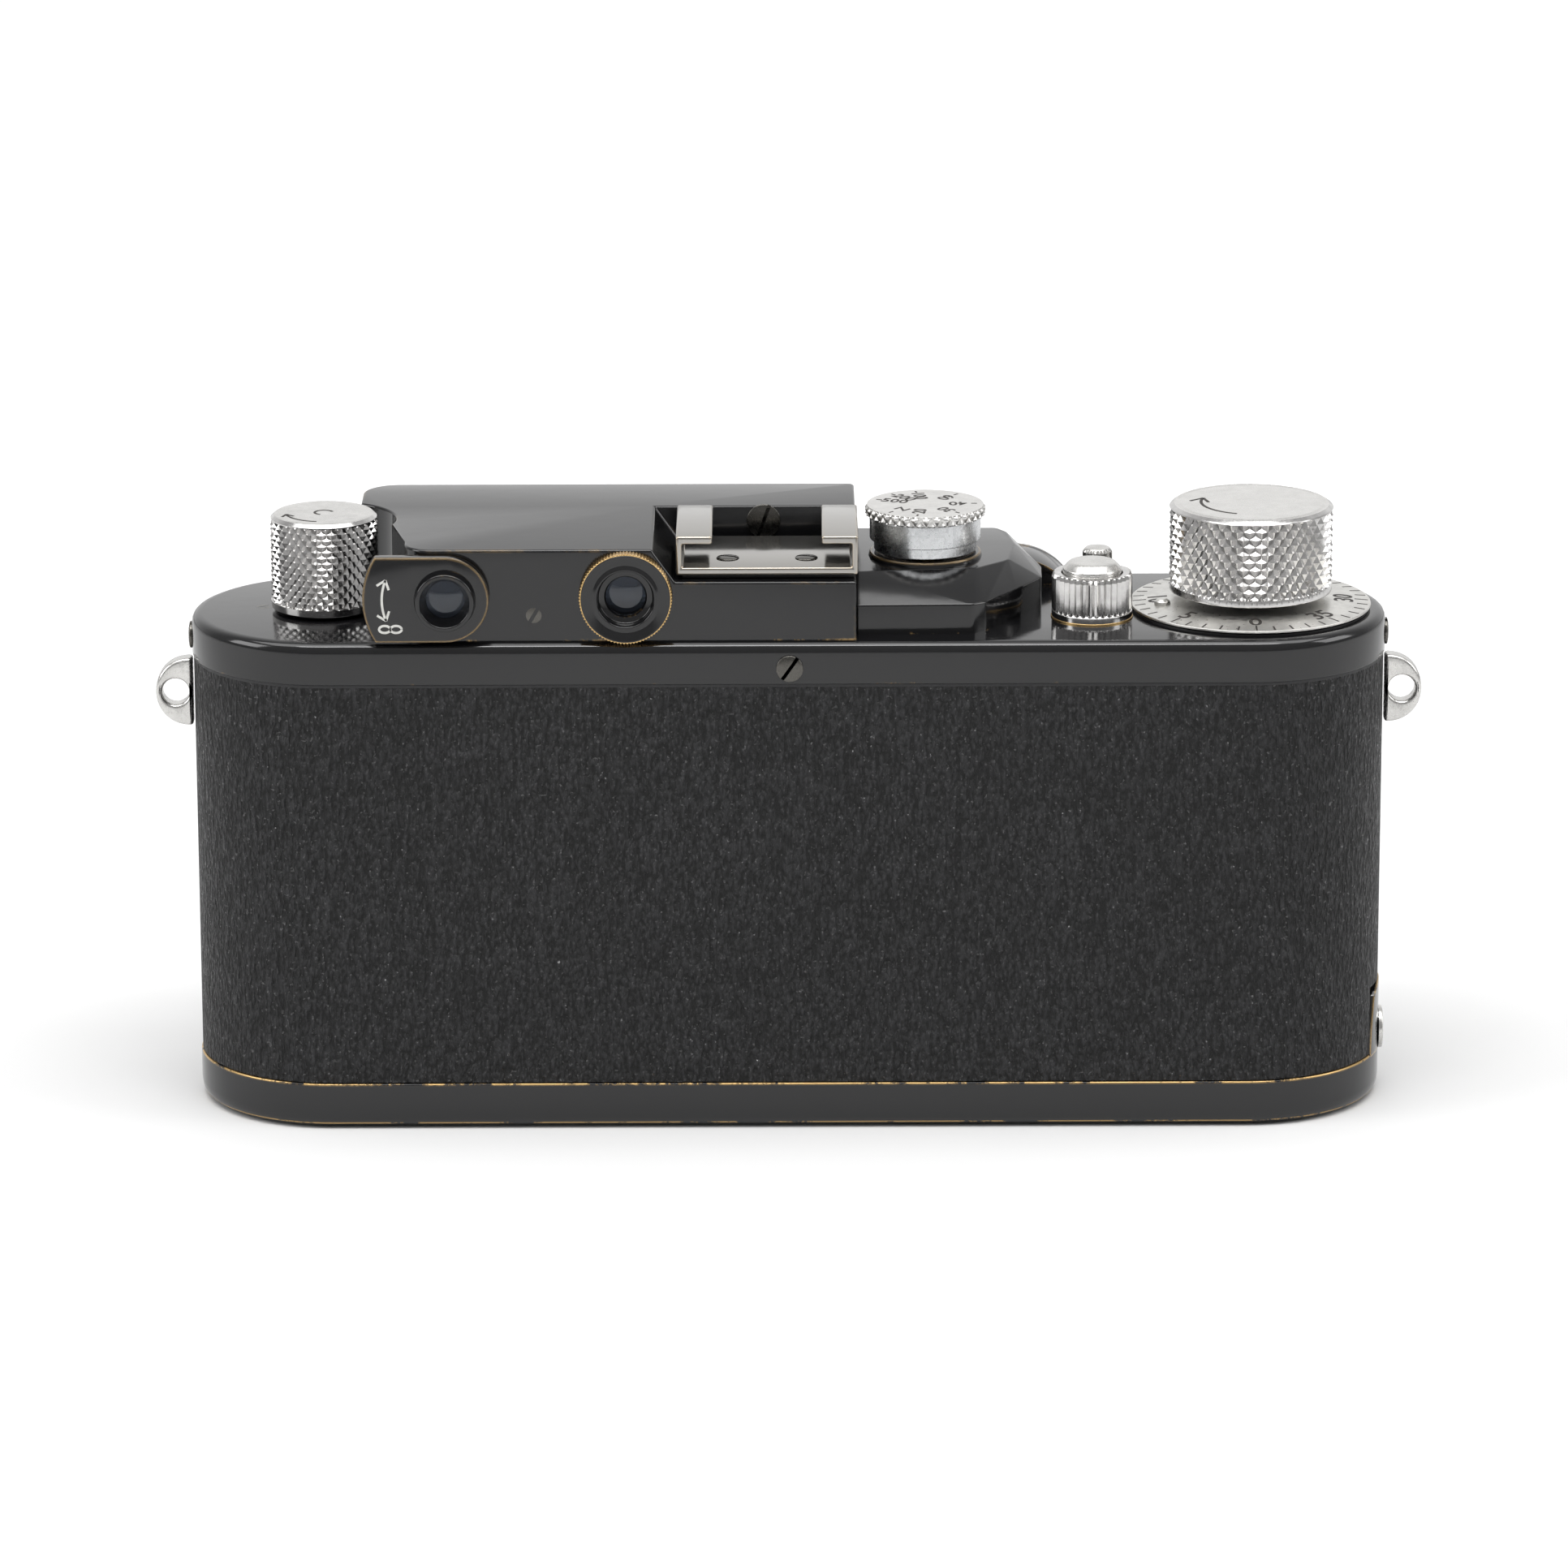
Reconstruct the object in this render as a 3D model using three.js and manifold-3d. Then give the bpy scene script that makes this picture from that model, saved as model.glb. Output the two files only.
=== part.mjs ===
// A compact 35 mm rangefinder camera with a cloth focal-plane shutter, modelled piece by piece.
// Millimetres. +X is the photographer's right, +Y points at the subject and +Z is up.
// The origin is the centre of the base plate's underside.
import * as THREE from 'three';
import { mergeVertices } from 'three/addons/utils/BufferGeometryUtils.js';
import { ConvexGeometry } from 'three/addons/geometries/ConvexGeometry.js';
import Module from 'manifold-3d';

const wasm = await Module();
wasm.setup();

// ---------------------------------------------------------------- driving dimensions

const BODY = { length: 133, depth: 31, height: 56, topEdge: 1.2, footEdge: 1.8 };
const SKIRT = { height: 4.7, wall: 0.9, plate: 1.2, screwAbove: 1.8 };
const TRAY = { height: 5.3, wall: 0.9, floor: 1.0 };
const SHELL = { inset: 1.2, wall: 1.0, foot: 1.3 };
const COVERING = { inset: 0.15, thick: 1.0 };
const FIT = { seat: 0.05, run: 0.12, gap: 0.3 };

// Gear train, from the winding shaft through the film sprocket to the shutter drum.
const TRAIN = {
  module: 0.6, windTeeth: 34, sprocketTeeth: 27, drumTeeth: 36,
  thick: 1.4, underPlate: 1.8, drop: 4.2, tip: 0.8, root: 1.15, toothFill: 0.74, flank: 20,
};
const MECHANISM = { thick: 1.0, underGears: 0.4 };
const HOUSING = {
  height: 10.3, wall: 1.1, rightOfDial: 7.77, backInset: 1.2, frontOverhang: 0.4, edge: 0.9,
  leftOfRewind: 3.8, knobRelief: 8.0, corner: 4.0, shelf: 3.7, shelfLeft: 19.9, shelfSlope: 2.6,
  shelfFront: 5.4, backCorner: 3.2, backLeft: 9.4,
};
const WIND = { fromEnd: 15.04, radius: 9.1, lift: 3.5, height: 8.4, shaft: 2.0 };
const COUNTER = { radius: 13.4, edge: 0.35, cone: 0.95, seat: 0.15, pin: 0.9, pinRadius: 10.2 };
const REWIND = { fromEnd: 14.9, radius: 6.0, lift: 0.2, height: 10.85, shaft: 1.8, sleeve: 3.0 };
const DIAL = {
  capRadius: 6.76, capHeight: 1.2, radius: 6.18, height: 2.65, waist: 5.7, waistHeight: 1.2,
  seatHeight: 0.55, seatWall: 0.9, collar: 3.1, shaft: 1.5, base: 6.8,
};
const PLINTH = { height: 6.0, straight: 3.3 };
const SLOW = { right: 10.3, under: 4.4, radius: 7.5, behind: 6.2, front: 1.3, dial: 7.0, thick: 2.2, stem: 1.5 };
const RELEASE = { collar: 4.47, collarHeight: 5.1, button: 3.27, proud: 1.3, stem: 2.0, ribs: 18 };
const LEVER = { right: 2.85, ahead: 16.2, button: 1.67, reach: [-1.8, -4.0], height: 4.6, hub: 2.2 };
const SHOE = {
  width: 20, wall: 0.65, floor: 1.35, rail: 0.9, height: 4.9, gap: 12, back: 1.0, length: 14.5,
  leftOfDial: 17.57, screw: 1.2, screwSpread: 4.33, screwBack: 4.3,
};
const EYE = { height: 5.1, ring: 5.14, ringBore: 2.24, ringProud: 1.7, spigot: 2.9, glass: 2.6, window: 3.5 };
const DIOPTER = { radius: 4.8, reach: 9.05, thick: 1.5, cup: 3.2, cupBore: 2.6, cupProud: 1.5, spigot: 3.0 };
const FINDER = { viewLeft: 33.07, rangeLeft: 52.82, rangeRight: 14.8, viewWide: 10.0, viewTall: 6.6 };
const SCREW = { radius: 1.45, head: 0.5, stem: 0.9, length: 2.2 };
const LUG = { height: 46.7, hole: 1.57, out: 1.9, reach: 4.2, tall: 7.8, thick: 2.3 };
const EAR = { halfWidth: 5.7, halfTop: 3.6, height: 12.9, stud: 2.4, studHeight: 6.8, studProud: 0.45 };
const KEY = { fromEnd: 14.9, radius: 8.0, washer: 9.5, washerThick: 0.8, hub: 3.0, hubTop: 4.5 };
const BOW = { outer: 6.9, inner: 4.9, thick: 0.45, recess: 0.3 };
const TRIPOD = { bore: 3.2, outer: 5.5, depth: 5.2, height: 6.0, flange: 7.0, flangeThick: 0.8 };
const CRATE = { wall: 1.5, gateWall: 1.0, foot: 6.3, leftRoom: 34, sprocketRoom: 6.65 };
const GATE = { width: 36, height: 24, filmGap: 0.5, plate: 0.7, margin: 4.5 };
const SPOOL = { core: 5.0, flange: 9.0, flangeThick: 1.2, foot: 7.0 };
const SPROCKET = { radius: 4.6, tooth: 0.9, width: 2.4, teeth: 8, foot: 9.0, spread: 15.0 };
const CURTAIN = { drum: 5.5, drumInset: 3.6, roller: 1.9, spread: 42.2, thick: 0.3, tall: 30, pin: 0.9 };
const LENS = { leftOfDial: 19.2, height: 28.3 };
const FLANGE = { bore: 19.5, outer: 22.0, thread: 20.3, proud: 1.5 };
const BARREL = {
  thread: 19.3, mount: 23.5, mountThick: 2.2, bore: 15.3, sleeveBore: 12.4, sleeveBack: 6.5,
  focus: 22.5, focusThick: 4.5, leverReach: 27.0, leverRadius: 3.2, tube: 12.2, tubeBore: 10.6,
  tubeBack: 14.5, ring: 18.0, ringThick: 6.6, ringBore: 8.6, aperture: 15.5, apertureThick: 2.0,
};
const GLASS = { front: 8.4, rear: 10.4, centre: 3.4, edge: 1.8 };
const ARM = { length: 20, behind: 8.8, width: 2.0, thick: 2.4, roller: 2.0, shaft: 1.2 };

// ---------------------------------------------------------------- places that follow from them

const TOP = BODY.height;
const PLATE_UNDER = TOP - SKIRT.plate;
const SKIRT_FOOT = TOP - SKIRT.height;
const ARC_X = (BODY.length - BODY.depth) / 2;
const FRONT = BODY.depth / 2;
const GEAR_TOP = PLATE_UNDER - TRAIN.underPlate;
const GEAR_FOOT = GEAR_TOP - TRAIN.thick;
const MECH_TOP = GEAR_FOOT - MECHANISM.underGears;
const MECH_FOOT = MECH_TOP - MECHANISM.thick;
const CRATE_TOP = MECH_FOOT - 0.1;
const SHELL_IN = SHELL.inset + SHELL.wall;
const SHELL_FRONT = FRONT - SHELL.inset;
const ROOM = FRONT - SHELL_IN;

const WIND_X = BODY.length / 2 - WIND.fromEnd;
const meshX = (teethA, teethB) => {
  const centres = TRAIN.module * (teethA + teethB) / 2;
  return Math.sqrt(centres * centres - TRAIN.drop * TRAIN.drop);
};
const RELEASE_X = WIND_X - meshX(TRAIN.windTeeth, TRAIN.sprocketTeeth);
const RELEASE_Y = -TRAIN.drop;
const DIAL_X = RELEASE_X - meshX(TRAIN.sprocketTeeth, TRAIN.drumTeeth);
const REWIND_X = -BODY.length / 2 + REWIND.fromEnd;
const LENS_X = DIAL_X - LENS.leftOfDial;
const HOUSING_RIGHT = DIAL_X - HOUSING.rightOfDial;
const HOUSING_BACK = -FRONT + HOUSING.backInset;
const HOUSING_FRONT = FRONT + HOUSING.frontOverhang;
const HOUSING_TOP = TOP + HOUSING.height;
const SHELF_Z = HOUSING_TOP - HOUSING.shelf;
const EYE_Z = TOP + EYE.height;
const VIEW_X = DIAL_X - FINDER.viewLeft;
const HOUSING_SCREW_X = VIEW_X - 10.1;
const HOUSING_SCREW_Z = TOP + 2.9;
const RANGE_X = DIAL_X - FINDER.rangeLeft;
const RANGE_RIGHT_X = DIAL_X - FINDER.rangeRight;
const SHOE_X = DIAL_X - SHOE.leftOfDial;
const ADJUST_SCREW_X = SHOE_X - 0.4;
const ADJUST_SCREW_Z = SHELF_Z + 2;
const SHOE_BACK = HOUSING_BACK + SHOE.back;
const SHOE_FLOOR = SHELF_Z + SHOE.floor;
const DIAL_SEAT = TOP + PLINTH.height + DIAL.seatHeight;
const DIAL_FOOT = TOP + DIAL.base;
const DIAL_WAIST_TOP = DIAL_FOOT + DIAL.waistHeight;
const DIAL_CAP_FOOT = DIAL_WAIST_TOP + DIAL.height;
const SLOW_X = DIAL_X + SLOW.right;
const SLOW_Z = TOP - SLOW.under;
const CRATE_RIGHT = RELEASE_X - CRATE.sprocketRoom;
const CRATE_LEFT = LENS_X - CRATE.leftRoom;
const CRATE_FRONT = ROOM - FIT.gap;
const FILM_Y = -ROOM + GATE.filmGap + GATE.plate + FIT.gap;
const FLANGE_FACE = FRONT + FLANGE.proud;
const MOUNT_FRONT = FLANGE_FACE + 0.1 + BARREL.mountThick;
const FOCUS_BACK = MOUNT_FRONT + 0.2;
const FOCUS_FRONT = FOCUS_BACK + BARREL.focusThick;
const RING_BACK = FOCUS_FRONT + 0.4;
const RING_FRONT = RING_BACK + BARREL.ringThick;
const SLEEVE_BACK = FRONT - BARREL.sleeveBack;
const ARM_X = LENS_X - ARM.length;
const ARM_Y = FRONT - ARM.behind;
const ARM_Z = LENS.height + BARREL.tube + FIT.gap;

// ---------------------------------------------------------------- finishes

const finish = (color, roughness, metalness) => new THREE.MeshStandardMaterial({ color, roughness, metalness });
const FINISH = {
  enamel: finish(0x0d0d0f, 0.22, 0.1),
  covering: finish(0x151414, 0.75, 0.0),
  brass: finish(0x9a7a42, 0.4, 1.0),
  nickel: finish(0xb8b6b0, 0.34, 1.0),
  steel: finish(0x8c8d90, 0.38, 1.0),
  glass: finish(0x9fb4c4, 0.05, 0.0),
  cloth: finish(0x101012, 0.95, 0.0),
  casting: finish(0x55575a, 0.6, 0.9),
};

// ---------------------------------------------------------------- turning geometries into solids

// A closed mesh as a solid: shared vertices merged, slivers dropped and every face turned outwards.
function solid(geometry) {
  geometry.deleteAttribute('normal');
  geometry.deleteAttribute('uv');
  const merged = mergeVertices(geometry, 1e-4);
  const index = merged.index.array;
  const faces = [];
  for (let i = 0; i < index.length; i += 3) {
    const [a, b, c] = index.slice(i, i + 3);
    if (a !== b && b !== c && c !== a) faces.push(a, b, c);
  }
  const points = merged.attributes.position.array;
  if (signedVolume(points, faces) < 0) faces.reverse();
  const mesh = new wasm.Mesh({
    numProp: 3,
    vertProperties: new Float32Array(points),
    triVerts: new Uint32Array(faces),
  });
  return new wasm.Manifold(mesh);
}

function signedVolume(points, faces) {
  const corner = (i) => new THREE.Vector3().fromArray(points, faces[i] * 3);
  let sum = 0;
  for (let i = 0; i < faces.length; i += 3) {
    sum += corner(i).dot(corner(i + 1).cross(corner(i + 2)));
  }
  return sum;
}

function surface(body) {
  const mesh = body.getMesh();
  const geometry = new THREE.BufferGeometry();
  geometry.setAttribute('position', new THREE.BufferAttribute(new Float32Array(mesh.vertProperties), 3));
  geometry.setIndex(new THREE.BufferAttribute(new Uint32Array(mesh.triVerts), 1));
  geometry.computeVertexNormals();
  return geometry;
}

// ---------------------------------------------------------------- basic shapes

const box = (x0, x1, y0, y1, z0, z1) => solid(
  new THREE.BoxGeometry(x1 - x0, y1 - y0, z1 - z0).translate((x0 + x1) / 2, (y0 + y1) / 2, (z0 + z1) / 2),
);
const cylinderZ = (r, z0, z1, x = 0, y = 0, sides = 20) => solid(
  new THREE.CylinderGeometry(r, r, z1 - z0, sides).rotateX(Math.PI / 2).translate(x, y, (z0 + z1) / 2),
);
const cylinderY = (r, y0, y1, x, z, sides = 20) => solid(
  new THREE.CylinderGeometry(r, r, y1 - y0, sides).translate(x, (y0 + y1) / 2, z),
);
const cylinderX = (r, x0, x1, y, z, sides = 16) => solid(
  new THREE.CylinderGeometry(r, r, x1 - x0, sides).rotateZ(Math.PI / 2).translate((x0 + x1) / 2, y, z),
);
const outline = (pairs) => new THREE.Shape(pairs.map(([x, y]) => new THREE.Vector2(x, y)));
const profile = (pairs) => [...pairs, pairs[0]].map(([r, h]) => new THREE.Vector2(r, h));

// A profile of [radius, height] pairs turned about the vertical, or about a fore-and-aft axis.
const turnedZ = (pairs, x, y, sides = 24) => solid(
  new THREE.LatheGeometry(profile(pairs), sides).rotateX(Math.PI / 2).translate(x, y, 0),
);
const turnedY = (pairs, x, z, sides = 32) => solid(
  new THREE.LatheGeometry(profile(pairs), sides).translate(x, 0, z),
);

const extrude = (shape, depth, curveSegments) => (
  new THREE.ExtrudeGeometry(shape, { depth, bevelEnabled: false, curveSegments })
);
const prismZ = (shape, z0, z1, curveSegments = 5) => solid(
  extrude(shape, z1 - z0, curveSegments).translate(0, 0, z0),
);
// An outline drawn in X and Z, run along Y.
const prismY = (shape, y0, y1, curveSegments = 5) => solid(
  extrude(shape, y1 - y0, curveSegments).rotateX(Math.PI / 2).translate(0, y1, 0),
);
// An outline drawn in Y and Z, run along X.
const prismX = (shape, x0, x1, curveSegments = 5) => solid(
  extrude(shape, x1 - x0, curveSegments).rotateX(Math.PI / 2).rotateZ(Math.PI / 2).translate(x0, 0, 0),
);
// A prism whose two ends are rounded over by the given radius.
function roundedPrism(shape, z0, z1, radius, curveSegments = 5) {
  const geometry = new THREE.ExtrudeGeometry(shape, {
    depth: z1 - z0 - 2 * radius, bevelEnabled: true, bevelThickness: radius, bevelSize: radius,
    bevelOffset: -radius, bevelSegments: 2, curveSegments,
  });
  return solid(geometry.translate(0, 0, z0 + radius));
}

// The camera's plan: straight flanks and half-round ends, drawn in by an inset.
const PLAN_STEPS = 8;
function plan(inset) {
  const radius = FRONT - inset;
  const shape = new THREE.Shape();
  shape.absarc(ARC_X, 0, radius, -Math.PI / 2, Math.PI / 2);
  shape.absarc(-ARC_X, 0, radius, Math.PI / 2, Math.PI * 1.5);
  return shape;
}
const planPrism = (inset, z0, z1) => prismZ(plan(inset), z0, z1, PLAN_STEPS);

// ---------------------------------------------------------------- the assembly

const camera = new THREE.Group();
camera.name = 'rangefinder_camera';

function piece(name, body, material) {
  const mesh = new THREE.Mesh(surface(body), material);
  mesh.name = name;
  camera.add(mesh);
}

// A slotted screw whose head stands out from a face; placed by turning it from +Z to its outward axis.
function screw(name, x, y, z, axis) {
  const head = cylinderZ(SCREW.radius, 0, SCREW.head, 0, 0, 14);
  const stem = cylinderZ(SCREW.stem, -SCREW.length, SCREW.head / 2, 0, 0, 12);
  const slot = box(-SCREW.radius, SCREW.radius, -0.18, 0.18, SCREW.head / 2, SCREW.head * 2);
  const mesh = new THREE.Mesh(surface(head.add(stem).subtract(slot)), FINISH.nickel);
  mesh.quaternion.setFromUnitVectors(new THREE.Vector3(0, 0, 1), axis);
  mesh.position.set(x, y, z);
  mesh.name = name;
  camera.add(mesh);
}
const screwHole = (along, x, y, z) => {
  const r = SCREW.stem + FIT.gap;
  const reach = SCREW.length + 1;
  if (along === 'Y') return cylinderY(r, y - reach, y + reach, x, z, 12);
  return cylinderX(r, x - reach, x + reach, y, z, 12);
};

// A spur gear with straight-flanked teeth; one tooth points along the phase angle.
function gear(teeth, x, y, phase, bore) {
  const pitch = TRAIN.module * teeth / 2;
  const half = (Math.PI * TRAIN.module / 4) * TRAIN.toothFill;
  const slope = Math.tan(THREE.MathUtils.degToRad(TRAIN.flank));
  const tip = TRAIN.tip * TRAIN.module;
  const root = TRAIN.root * TRAIN.module;
  const corners = [[pitch - root, half + root * slope], [pitch + tip, half - tip * slope]];
  const points = [];
  for (let i = 0; i < teeth; i += 1) {
    const middle = phase + (i / teeth) * Math.PI * 2;
    for (const [r, side] of [...corners.map(([a, b]) => [a, -b]), ...corners.toReversed()]) {
      const angle = middle + side / r;
      points.push(new THREE.Vector2(r * Math.cos(angle), r * Math.sin(angle)));
    }
  }
  const wheel = prismZ(new THREE.Shape(points), GEAR_FOOT, GEAR_TOP).translate([x, y, 0]);
  return bore > 0 ? wheel.subtract(cylinderZ(bore, GEAR_FOOT - 1, GEAR_TOP + 1, x, y, 14)) : wheel;
}

// The direction from the film sprocket to the winding shaft and to the drum, and the phases that mesh.
const TOWARDS_WIND = Math.atan2(-RELEASE_Y, WIND_X - RELEASE_X);
const TOWARDS_DRUM = Math.atan2(-RELEASE_Y, DIAL_X - RELEASE_X);
const SPROCKET_STEP = (Math.PI * 2) / TRAIN.sprocketTeeth;
const WIND_PHASE = TOWARDS_WIND + Math.PI + Math.PI / TRAIN.windTeeth;
const drumPhase = () => {
  const toTooth = (TOWARDS_WIND - TOWARDS_DRUM) % SPROCKET_STEP;
  return TOWARDS_DRUM + Math.PI + Math.PI / TRAIN.drumTeeth
    - toTooth * (TRAIN.sprocketTeeth / TRAIN.drumTeeth);
};

// ---------------------------------------------------------------- body, covering and top plate

const SKIRT_SCREW_Z = SKIRT_FOOT + SKIRT.screwAbove;

function withSkirtScrewHoles(body) {
  return body.subtract(screwHole('Y', 0, -FRONT, SKIRT_SCREW_Z))
    .subtract(screwHole('X', BODY.length / 2, 0, SKIRT_SCREW_Z))
    .subtract(screwHole('X', -BODY.length / 2, 0, SKIRT_SCREW_Z));
}

function bodyShell() {
  const top = PLATE_UNDER - FIT.gap;
  let shell = planPrism(SHELL.inset, SHELL.foot, top).subtract(planPrism(SHELL_IN, 0, TOP));
  shell = shell.subtract(cylinderY(FLANGE.thread + 0.2, 0, FRONT + 1, LENS_X, LENS.height, 32));
  piece('body_shell', withSkirtScrewHoles(shell), FINISH.casting);
}

function bodyCovering() {
  const foot = TRAY.height + FIT.gap;
  const inner = COVERING.inset + COVERING.thick;
  let skin = planPrism(COVERING.inset, foot, SKIRT_FOOT).subtract(planPrism(inner, 0, TOP));
  skin = skin.subtract(cylinderY(FLANGE.outer + FIT.gap, 0, FRONT + 1, LENS_X, LENS.height, 32));
  const notch = EAR.halfWidth + FIT.gap;
  const ear = box(ARC_X, BODY.length, -notch, notch, 0, EAR.height + FIT.gap);
  piece('body_covering', skin.subtract(ear), FINISH.covering);
}

function topPlate() {
  let plate = roundedPrism(plan(0), SKIRT_FOOT - BODY.topEdge * 2, TOP, BODY.topEdge, PLAN_STEPS);
  plate = plate.subtract(box(-BODY.length, BODY.length, -BODY.depth, BODY.depth, 0, SKIRT_FOOT));
  plate = plate.subtract(planPrism(SKIRT.wall, 0, PLATE_UNDER));
  plate = plate.add(cylinderZ(COUNTER.radius - 0.2, PLATE_UNDER + 0.2, TOP + COUNTER.seat, WIND_X, 0, 22));
  const holes = [
    [WIND.shaft, WIND_X, 0], [RELEASE.stem, RELEASE_X, RELEASE_Y],
    [DIAL.shaft, DIAL_X, 0], [REWIND.sleeve, REWIND_X, 0],
  ];
  for (const [r, x, y] of holes) plate = plate.subtract(cylinderZ(r + FIT.run, 0, TOP + 2, x, y, 22));
  piece('top_plate', withSkirtScrewHoles(plate), FINISH.enamel);
}

function skirtScrews() {
  const z = SKIRT_SCREW_Z;
  const end = BODY.length / 2 + FIT.seat;
  screw('skirt_screw_back', 0, -FRONT, z, new THREE.Vector3(0, -1, 0));
  screw('skirt_screw_right', end, 0, z, new THREE.Vector3(1, 0, 0));
  screw('skirt_screw_left', -end, 0, z, new THREE.Vector3(-1, 0, 0));
}

// A strap lug: a flat ear with a round eye, one on each end of the body.
function strapLug(name, side) {
  const inner = BODY.length / 2 + FIT.seat;
  const eye = inner + LUG.out;
  const shape = new THREE.Shape();
  shape.moveTo(inner, -LUG.tall / 2);
  shape.lineTo(inner + 0.9, -LUG.tall / 2);
  shape.lineTo(eye, -LUG.reach / 2 - 0.4);
  shape.absarc(eye, 0, LUG.reach - LUG.out, -Math.PI / 2, Math.PI / 2);
  shape.lineTo(eye, LUG.reach / 2 + 0.4);
  shape.lineTo(inner + 0.9, LUG.tall / 2);
  shape.lineTo(inner, LUG.tall / 2);
  const hole = new THREE.Path().absarc(eye, 0, LUG.hole, 0, Math.PI * 2);
  shape.holes.push(hole);
  const lug = prismY(shape, -LUG.thick / 2, LUG.thick / 2, 6).translate([0, 0, LUG.height]);
  piece(name, side > 0 ? lug : lug.mirror([1, 0, 0]), FINISH.nickel);
}

// ---------------------------------------------------------------- finder housing and what it carries

function housingPlan() {
  const left = REWIND_X + HOUSING.leftOfRewind;
  const r = HOUSING.corner;
  const backLeft = REWIND_X + HOUSING.backLeft;
  const shape = new THREE.Shape();
  shape.moveTo(HOUSING_RIGHT, HOUSING_BACK);
  shape.lineTo(HOUSING_RIGHT, HOUSING_FRONT);
  shape.lineTo(left + r, HOUSING_FRONT);
  shape.absarc(left + r, HOUSING_FRONT - r, r, Math.PI / 2, Math.PI);
  const start = Math.acos(HOUSING.leftOfRewind / HOUSING.knobRelief);
  shape.absarc(REWIND_X, 0, HOUSING.knobRelief, start, -0.3, true);
  const corner = HOUSING.backCorner;
  shape.lineTo(backLeft, HOUSING_BACK + corner + 1);
  shape.absarc(backLeft + corner, HOUSING_BACK + corner, corner, Math.PI, Math.PI * 1.5);
  return shape;
}

function finderHousing() {
  const lowered = TOP - 2 * HOUSING.edge;
  let housing = roundedPrism(housingPlan(), lowered, HOUSING_TOP, HOUSING.edge, 4);
  housing = housing.subtract(box(-BODY.length, BODY.length, -BODY.length, BODY.length, 0, TOP));
  const shelfLeft = HOUSING_RIGHT - HOUSING.shelfLeft;
  const recess = outline([
    [shelfLeft, SHELF_Z], [HOUSING_RIGHT + 1, SHELF_Z], [HOUSING_RIGHT + 1, HOUSING_TOP + 1],
    [shelfLeft - HOUSING.shelfSlope, HOUSING_TOP + 1],
  ]);
  housing = housing.subtract(prismY(recess, HOUSING_BACK - 1, HOUSING.shelfFront));
  const w = HOUSING.wall;
  const cavityLeft = REWIND_X + HOUSING.backLeft + 2 * w;
  const step = shelfLeft - HOUSING.shelfSlope - w;
  housing = housing.subtract(
    box(cavityLeft, step, HOUSING_BACK + w, HOUSING_FRONT - w, TOP - 1, HOUSING_TOP - w),
  );
  housing = housing.subtract(
    box(step - 1, HOUSING_RIGHT - w, HOUSING_BACK + w, HOUSING_FRONT - w, TOP - 1, SHELF_Z - w),
  );
  const back = (r, x) => cylinderY(r, HOUSING_BACK - 1, HOUSING_BACK + 3, x, EYE_Z, 22);
  const front = (r, x) => cylinderY(r, HOUSING_FRONT - 3, HOUSING_FRONT + 1, x, EYE_Z, 22);
  housing = housing.subtract(back(DIOPTER.spigot + FIT.run, RANGE_X));
  housing = housing.subtract(back(EYE.spigot + 0.1, VIEW_X));
  housing = housing.subtract(front(EYE.window, RANGE_X)).subtract(front(EYE.window, RANGE_RIGHT_X));
  housing = housing.subtract(box(
    VIEW_X - FINDER.viewWide / 2, VIEW_X + FINDER.viewWide / 2, HOUSING_FRONT - 3, HOUSING_FRONT + 1,
    EYE_Z - FINDER.viewTall / 2, EYE_Z + FINDER.viewTall / 2,
  ));
  housing = housing.subtract(screwHole('Y', HOUSING_SCREW_X, HOUSING_BACK, HOUSING_SCREW_Z));
  housing = housing.subtract(screwHole('Y', ADJUST_SCREW_X, HOUSING.shelfFront, ADJUST_SCREW_Z));
  piece('finder_housing', housing, FINISH.enamel);
}

function finderGlass() {
  const y0 = HOUSING_FRONT - HOUSING.wall;
  const y1 = HOUSING_FRONT - 0.2;
  piece('rangefinder_window_left', cylinderY(EYE.window - 0.1, y0, y1, RANGE_X, EYE_Z), FINISH.glass);
  piece('rangefinder_window_right', cylinderY(EYE.window - 0.1, y0, y1, RANGE_RIGHT_X, EYE_Z), FINISH.glass);
  const halfWide = FINDER.viewWide / 2 - 0.1;
  const halfTall = FINDER.viewTall / 2 - 0.1;
  const pane = box(VIEW_X - halfWide, VIEW_X + halfWide, y0, y1, EYE_Z - halfTall, EYE_Z + halfTall);
  piece('viewfinder_front_window', pane, FINISH.glass);
}

function viewfinderEyepiece() {
  const face = HOUSING_BACK;
  const outer = face - EYE.ringProud;
  const ring = turnedY([
    [EYE.ringBore, face - 0.3], [EYE.ring - 1.2, outer], [EYE.ring, outer], [EYE.ring, face],
    [EYE.spigot, face], [EYE.spigot, face + 2.4], [EYE.glass + 0.1, face + 2.4],
    [EYE.glass + 0.1, face + 0.9], [EYE.ringBore, face + 0.9],
  ], VIEW_X, EYE_Z, 22);
  piece('viewfinder_eyepiece', ring, FINISH.nickel);
  const lens = cylinderY(EYE.glass, face + 1.0, face + 2.2, VIEW_X, EYE_Z);
  piece('viewfinder_eye_lens', lens, FINISH.glass);
}

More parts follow.
